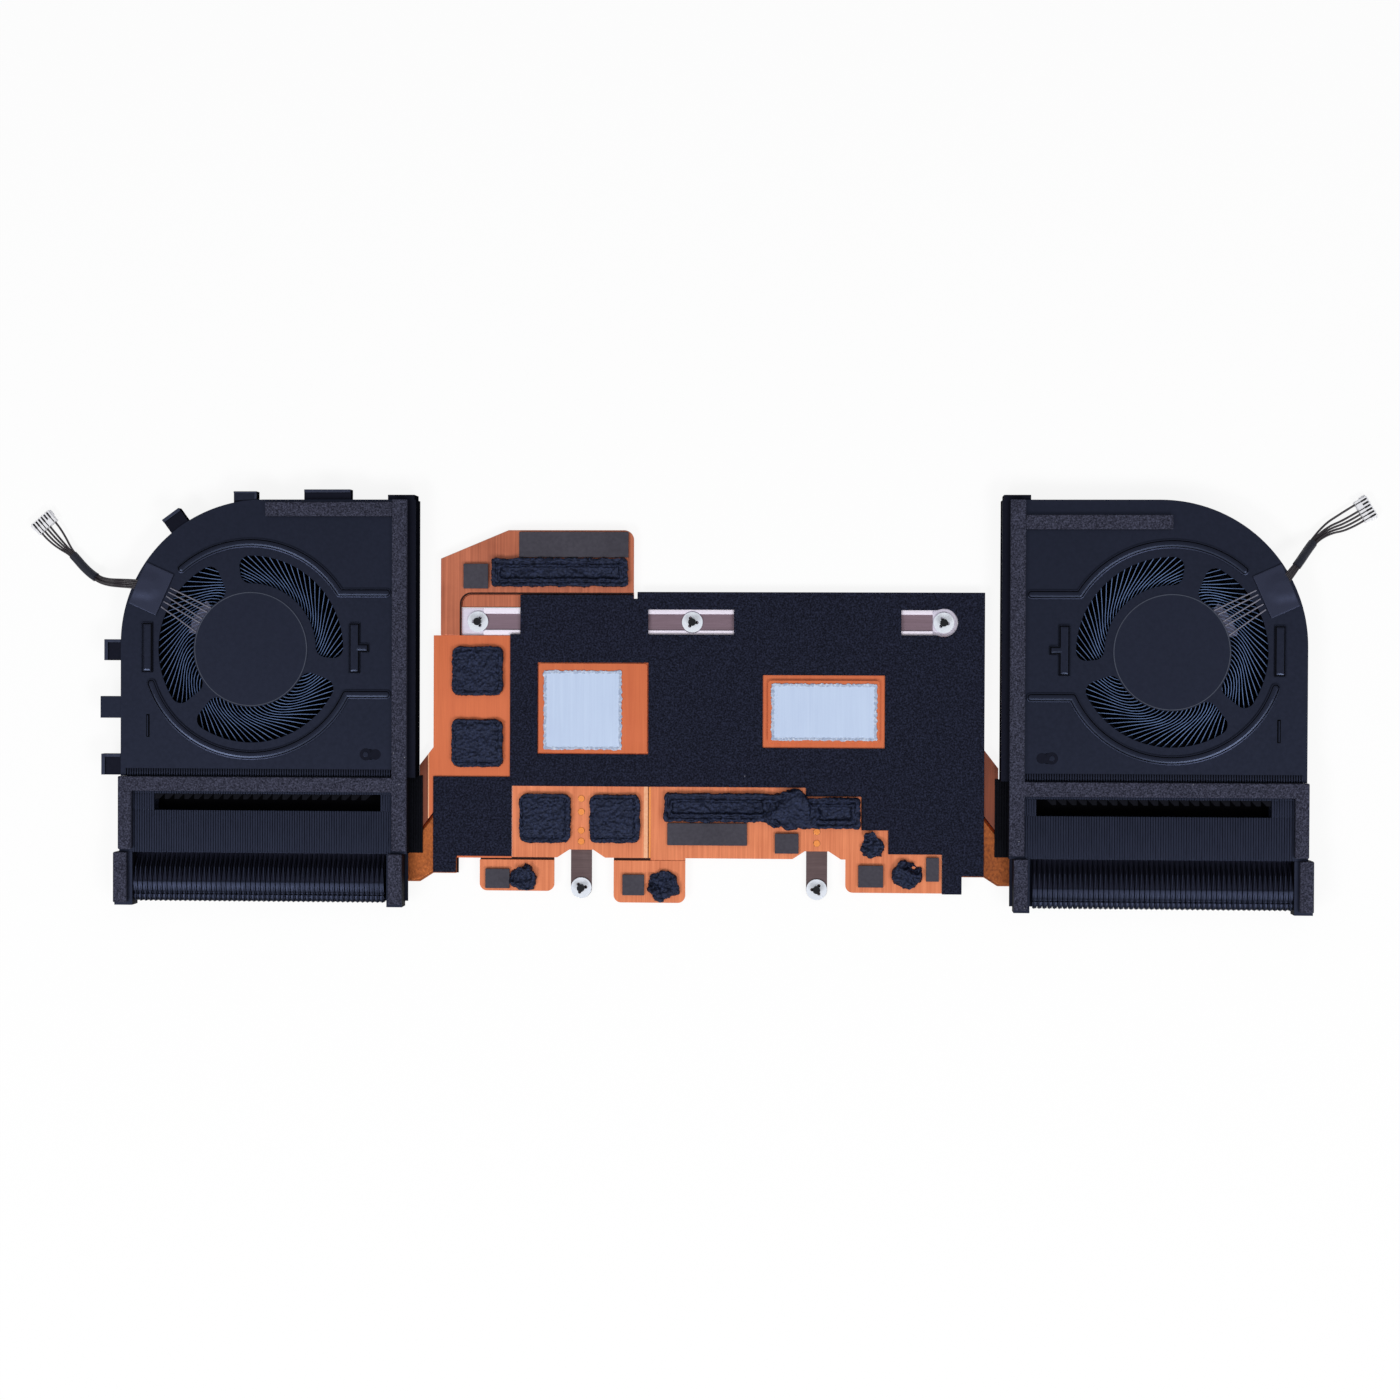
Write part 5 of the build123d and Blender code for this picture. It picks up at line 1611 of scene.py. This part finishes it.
@dataclass
class Spreader:
    """Copper body of the module: chamber, plates and flattened pipes."""

    edge: float = 0.18
    # Strips of painted shadow above the tabs, and of painted shade in the gaps by the pipes.
    tab_shadows: tuple[Quad, ...] = ((-58.6, -43.0, -38.8, -42.1), (-22.8, -43.0, -13.0, -42.1))
    tab_shadow_z: Pair = (2.0, 2.35)
    shade_strip_edge: float = 0.05
    gap_shades: tuple[Quad, ...] = (
        (66.9, -30.4, 73.2, -30.4), (73.2, -30.4, 76.9, -35.2), (67.0, -30.4, 67.0, -46.6),
    )
    gap_shade_z: Pair = (0.9, 1.3)
    gap_shade_half: float = 0.4
    joggle_lines: Pair = (-13.8, -13.5)
    wing_cuts: Triple = (-72.8, -72.5, 74.0)  # both sides of the left fold, then the right wing
    recess: Pair = (-63.9, 27.95)  # its corner
    recess_rim: float = 0.5

    def build(self) -> None:
        """Round the edges of the copper pieces, dress them and add dark strips of painted shade in the gaps between
        them.
        """
        finishes = {"vapour_chamber": LAND_COPPER, "upper_copper_plate": UPPER_COPPER, "lower_copper_plate": COPPER,
                    "heat_pipe_left": PIPE_COPPER, "heat_pipe_right": PIPE_COPPER}
        cuts = {"lower_copper_plate": self.joggle_lines, "vapour_chamber": self.wing_cuts}
        for node, finish in finishes.items():
            item = node_copy(node, f"eased_{node}")
            with editing(item):
                for x in cuts.get(node, ()):
                    cut((x * MM, 0, 0), (1, 0, 0))
                if node == "upper_copper_plate":
                    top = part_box(node)[1].z - HAIR
                    choose(Pick.EDGES, lambda edge: all(self.at_recess(corner.co) and corner.co.z > top
                                                        for corner in edge.verts))
                    bpy.ops.mesh.bevel(offset=self.recess_rim * MM, segments=4)
            deliver(ease(item, self.edge), finish, node)
        self.paint_folds()
        self.build_shade_strips()

    def at_recess(self, place: Vector) -> bool:
        """Whether a place lies beside or in the recess of the upper plate."""
        x, y = self.recess
        return place.x > x * MM and place.y < y * MM

    def paint_folds(self) -> None:
        """Painted highlights and a painted shade line along the folds of the copper, a painted shade rim at the recess
        and darker wings.
        """
        upper, lower, chamber = (bpy.data.objects[f"eased_{node}"] for node in (
            "upper_copper_plate", "lower_copper_plate", "vapour_chamber"))
        margin = Vector((1, -1, 0)) * MM
        # Painted shade: the rounded rim of the recess is painted dark.
        paint(upper, COPPER_PAINTED_SHADE, lambda face: 0.5 < face.normal.z < 0.99 and self.at_recess(spot(face) + margin))
        dark, line = (x * MM for x in self.joggle_lines)
        # On the joggle's slope: a painted highlight band, a painted shade line, then a thin painted highlight line.
        for finish, start, end in ((FOLD_PAINTED_HIGHLIGHT, -1, dark), (WING_COPPER_AND_FOLD_SHADE, dark, line), (RIVET_COPPER_AND_FOLD_HIGHLIGHT, line, 1)):
            paint(lower, finish, lambda face: 0.06 < abs(face.normal.x) < 0.4 and abs(face.normal.y) < 0.02
                  and start < spot(face).x < end)
        fold, start, right = (x * MM for x in self.wing_cuts)
        paint(chamber, WING_COPPER_AND_FOLD_SHADE, lambda face: face.normal.z > 0.1 and not fold < spot(face).x < right)
        # Painted highlight: a bright strip along the fold of the left wing.
        paint(chamber, FOLD_PAINTED_HIGHLIGHT, lambda face: faces_up(face) and fold < spot(face).x < start)

    def build_shade_strips(self) -> None:
        """Strips of painted shadow above the tabs, and dark strips of painted shade in the gaps between the chamber and
        the pipes.
        """
        low, high = self.tab_shadow_z
        strips = [ease(block("tab_shadow", (x0, y0, low), (x1, y1, high)), self.shade_strip_edge) for x0, y0, x1, y1 in self.tab_shadows]
        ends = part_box("vapour_chamber")
        middle = (ends[0].x + ends[1].x) / 2
        low, high = self.gap_shade_z
        for side in Side:
            for x0, y0, x1, y1 in self.gap_shades:
                run = Vector((-side.inward * (x1 - x0), y1 - y0))
                strip = block("gap_shades", (0, -self.gap_shade_half, low), (run.length, self.gap_shade_half, high))
                place = (middle - side.inward * x0 * MM, y0 * MM, 0)
                strips.append(lay(strip, math.atan2(run.y, run.x), place))
        deliver(join("painted_shade_strips", strips), COPPER_PAINTED_SHADE)


@dataclass
class SpringHardware:
    """Spring bar, spring arms, captive screws and their rings."""

    web_z: float = 1.6
    pad: float = 6.6
    bar_edge: float = 0.48
    edge: float = 0.1
    rivet_edge: float = 0.18
    # Degrees, from the left ring to the right one
    ring_turns: tuple[float, ...] = (-30.0, 40.0, 25.0, -30.0, 20.0)

    def build(self) -> None:
        """Make the bar, the arms, the rings and the rivets, and dress the screws."""
        self.build_bar()
        for side in Side:
            node = side.node("spring_arm")
            soften(node, f"eased_{node}", self.edge, ARM_STEEL)
        self.build_rings()
        rivets = soften("arm_rivets", "domed_rivets", self.rivet_edge, RIVET_COPPER_AND_FOLD_HIGHLIGHT, 3)
        # Painted shade: the rivets' domes are painted darker on their sides.
        paint(rivets, COPPER_PAINTED_SHADE, lambda face: face.normal.z < 0.85 and face.normal.y < 0.5)
        dress_node("captive_screws", SCREW_DARK)

    def build_rings(self) -> None:
        """Retaining rings, each turned about its own screw."""
        pick_up(node_copy("retaining_rings", "eased_rings"))
        bpy.ops.mesh.separate(type="LOOSE")
        rings = sorted(bpy.context.selected_objects, key=lambda ring: ring.data.vertices[0].co.x)
        for ring, turn in zip(rings, self.ring_turns):
            axes = zip(*(corner.co for corner in ring.data.vertices))
            middle = [(min(row) + max(row)) / 2 for row in axes]
            with editing(ring):
                choose_all()
                bpy.ops.transform.rotate(value=-math.radians(turn), orient_axis="Z", center_override=middle)
        deliver(ease(join("eased_rings", rings), self.edge), PLATED, "retaining_rings")

    def build_bar(self) -> None:
        """Bar with round ribs painted lighter as a painted highlight, a duller web between them and bright end pads."""
        bar = ease(node_copy("spring_bar", "ribbed_bar"), self.bar_edge, 5, 50)
        low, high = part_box("spring_bar")
        left, right = low.x + self.pad * MM, high.x - self.pad * MM
        with editing(bar):
            for x in (left, right):
                cut((x, 0, 0), (1, 0, 0))
        deliver(bar, STEEL, "spring_bar", angle=60)
        web = self.web_z * MM
        paint(bar, WEB_STEEL, lambda face: face.normal.z > 0.95 and abs(spot(face).z - web) < 2 * HAIR
              and left < spot(face).x < right)
        # Painted highlight: the round ribs get the lighter steel.
        paint(bar, RIB_PAINTED_HIGHLIGHT, lambda face: face.normal.z > STEEP and spot(face).z > web + 2 * HAIR
              and left < spot(face).x < right)


@dataclass
class Compounds:
    """Pads, paste and putty."""

    pad_edge: float = 0.12
    voxel: float = 0.22
    crumbs: Pair = (0.6, 0.5)  # size and depth of the smallest lumps
    paste_grid: float = 0.35
    paste_rim: Pair = (0.7, 0.2)  # width of the raised rim and of its ragged edge
    paste_rise: float = 0.08
    paste_ragged: Pair = (0.16, 0.3)
    square_rim: float = 0.8
    square_shift: float = 0.35
    square_rings: tuple[Pair, ...] = ((0.3, -0.5), (0.35, 0.5))
    square_lumps: Pair = (2.4, 0.7)
    upper_runs: tuple[Quad, ...] = ((-55.55, 30.0, -19.35, 37.4),)
    lower_runs: tuple[Quad, ...] = ((-9.35, -32.4, 22.5, -24.9), (24.5, -33.9, 42.55, -25.9))
    # Middle, radius and height of each lump
    blob: tuple[Quad, ...] = ((24.45, -28.7, 5.4, 2.3), (21.2, -29.2, 4.4, 1.9), (27.9, -29.9, 4.2, 1.9))
    run_t: float = 1.6
    run_corner: float = 0.75
    run_lumps: Pair = (2.2, 1.0)
    # Width and depth of each inset, from the outside in
    ridges: tuple[Pair, ...] = ((0.8, 0.0), (0.4, -0.55), (0.5, 0.55), (0.35, 0.0), (0.35, -0.8))
    dabs: tuple[Quad, ...] = (  # middle, height of the foot and radius of each
        (-46.75, -47.4, 2.7, 3.4), (-9.55, -49.2, 2.7, 4.0), (45.85, -38.4, 2.4, 3.1), (54.95, -46.2, 2.4, 3.5),
    )
    dab_t: float = 1.5
    dab_ragged: float = 1.15
    dab_sides: int = 13
    dab_edge: float = 0.5
    dab_lumps: Pair = (1.6, 1.3)

    def build(self) -> None:
        """Make each soft piece."""
        soften("thermal_pads", "soft_pads", self.pad_edge, PAD)
        for node in ("gpu_paste", "cpu_paste"):
            self.build_paste(node)
        self.build_squares()
        self.build_bead("upper_putty_bead", self.upper_runs)
        self.build_bead("lower_putty_bead", self.lower_runs, self.blob)
        self.build_dabs()

    def build_paste(self, node: str) -> None:
        """Printed paste: a thin sheet with a ragged, raised rim.

        Args:
            node: CAD node that it replaces.
        """
        low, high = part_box(node)
        middle, size = (low + high) / 2, high - low
        cuts = [round(value / (self.paste_grid * MM)) for value in size.xy]
        item = lay(sheet(f"printed_{node}", size, cuts), 0, (middle.x, middle.y, high.z))
        rim, edge = (width * MM for width in self.paste_rim)

        def inside(corner: bmesh.types.BMVert) -> float:
            """Distance of a corner from the nearest edge of the sheet, in metres."""
            return min(size.x / 2 - abs(corner.co.x - middle.x), size.y / 2 - abs(corner.co.y - middle.y))

        with editing(item):
            choose(Pick.CORNERS, lambda corner: inside(corner) < rim)
            shift(z=self.paste_rise)
            bpy.ops.transform.vertex_random(offset=self.paste_ragged[0] * MM, uniform=0.5, seed=4)
            choose(Pick.CORNERS, lambda corner: inside(corner) < edge)
            bpy.ops.transform.vertex_random(offset=self.paste_ragged[1] * MM, uniform=0.2, seed=7)
        shape(item, "SOLIDIFY", thickness=size.z, offset=-1)
        deliver(shape(item, "SUBSURF", levels=1, render_levels=1), PASTE, node, angle=70)
        paint(item, PASTE_RIM, lambda face: min(inside(corner) for corner in face.verts) < rim)

    def crumble(self, item: Item, node: str, lumps: Pair) -> None:
        """Turn a piece of putty into one rough skin and hand it over.

        Args:
            item: The piece.
            node: CAD node that it replaces.
            lumps: Size and depth of its larger lumps, in millimetres.
        """
        shape(item, "REMESH", mode="VOXEL", voxel_size=self.voxel * MM)
        shape(item, "SMOOTH", factor=0.5, iterations=2)
        for grain, depth in (lumps, self.crumbs):
            roughen(item, grain, depth)
        deliver(item, PUTTY, node, angle=60)

    def build_squares(self) -> None:
        """Squares of putty: a granular plateau, set off to one side, with a groove round it."""
        item = node_copy("memory_putty", "granular_putty")
        with editing(item):
            choose(Pick.FACES, faces_up)
            inset(self.square_rim)
            shift(-self.square_shift, self.square_shift)
            for width, depth in self.square_rings:
                inset(width, depth)
        self.crumble(item, "memory_putty", self.square_lumps)

    def build_bead(self, node: str, runs: Sequence[Quad], blob: Sequence[Quad] = ()) -> None:
        """Laid bead of putty: runs with concentric ridges about a narrow slit, and a rough blob if it has one.

        Args:
            node: CAD node that the bead replaces.
            runs: Corners of each straight run, in millimetres.
            blob: Middle, radius and height of each lump of the blob, in millimetres.
        """
        low, high = (corner.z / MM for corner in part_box(node))
        top = min(high, low + self.run_t)
        upright = (top - low) * MM * 0.75
        parts = []
        for x0, y0, x1, y1 in runs:
            run = block("run", (x0, y0, low), (x1, y1, top))
            with editing(run):
                choose(Pick.FACES, faces_up)
                for width, depth in self.ridges:
                    inset(width, depth)
                choose(Pick.EDGES, lambda edge: abs(edge.verts[0].co.z - edge.verts[1].co.z) > upright)
                bpy.ops.mesh.bevel(offset=self.run_corner * MM, segments=4)
            parts.append(run)
        parts += [self.ragged(x, y, low, radius, tall, seed) for seed, (x, y, radius, tall) in enumerate(blob)]
        self.crumble(join(f"laid_{node}", parts), node, self.run_lumps)

    def ragged(self, x: float, y: float, z: float, radius: float, tall: float, seed: int) -> Item:
        """Rough lump of putty, pulled out into points at its rim.

        Args:
            x: Middle of the lump, in millimetres.
            y: Middle of the lump, in millimetres.
            z: Height that it lies on.
            radius: Mean radius.
            tall: Mean height.
            seed: Seed of its ragged outline.

        Returns:
            The lump.
        """
        lump = disc("lump", (x, y, z), radius, tall, self.dab_sides)
        with editing(lump):
            choose_all()
            bpy.ops.transform.vertex_random(offset=self.dab_ragged * MM, uniform=0.3, seed=seed)
            choose(Pick.CORNERS, lambda corner: corner.co.z < (z + tall / 2) * MM)
            bpy.ops.transform.resize(value=(1, 1, 0), center_override=(0, 0, z * MM))
        return ease(lump, self.dab_edge, 3)

    def build_dabs(self) -> None:
        """Dabs of putty."""
        parts = [self.ragged(*dab, self.dab_t, seed) for seed, dab in enumerate(self.dabs)]
        self.crumble(join("ragged_dabs", parts), "putty_dabs", self.dab_lumps)


LEFT_ROUTE = (
    (-147.45, 29.9, 7.95), (-151.25, 30.3, 8.0), (-155.25, 30.5, 7.9), (-158.95, 30.8, 5.0), (-162.35, 31.7, 2.6),
    (-165.95, 34.2, 1.6), (-169.35, 38.1, 1.5), (-173.15, 41.8, 1.2), (-176.35, 45.6, 1.2),
)
RIGHT_ROUTE = (
    (151.15, 30.0, 7.95), (153.55, 33.0, 8.0), (156.25, 36.6, 7.7), (158.95, 40.0, 4.4), (161.65, 43.2, 2.1),
    (165.15, 45.9, 1.4), (168.95, 47.4, 1.2), (172.85, 49.8, 1.2),
)


def main() -> None:
    """Build the module's pieces in order round the frame."""
    logging.basicConfig(level=logging.INFO, format="%(name)s: %(message)s")
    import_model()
    Studio().build()
    FanCable(Side.LEFT, LEFT_ROUTE, 36.6, (0.52, 0.79), (0, 2, 3, 4, 5)).build()
    FanCable(Side.RIGHT, RIGHT_ROUTE, 31.5, (0.2, 0.5), (0, 1, 2, 3, 5)).build()
    for side in Side:
        Fan(side).build()
        FinBank(side).build()
    Seals().build()
    Spreader().build()
    SpringHardware().build()
    Compounds().build()


if __name__ == "__main__":
    main()
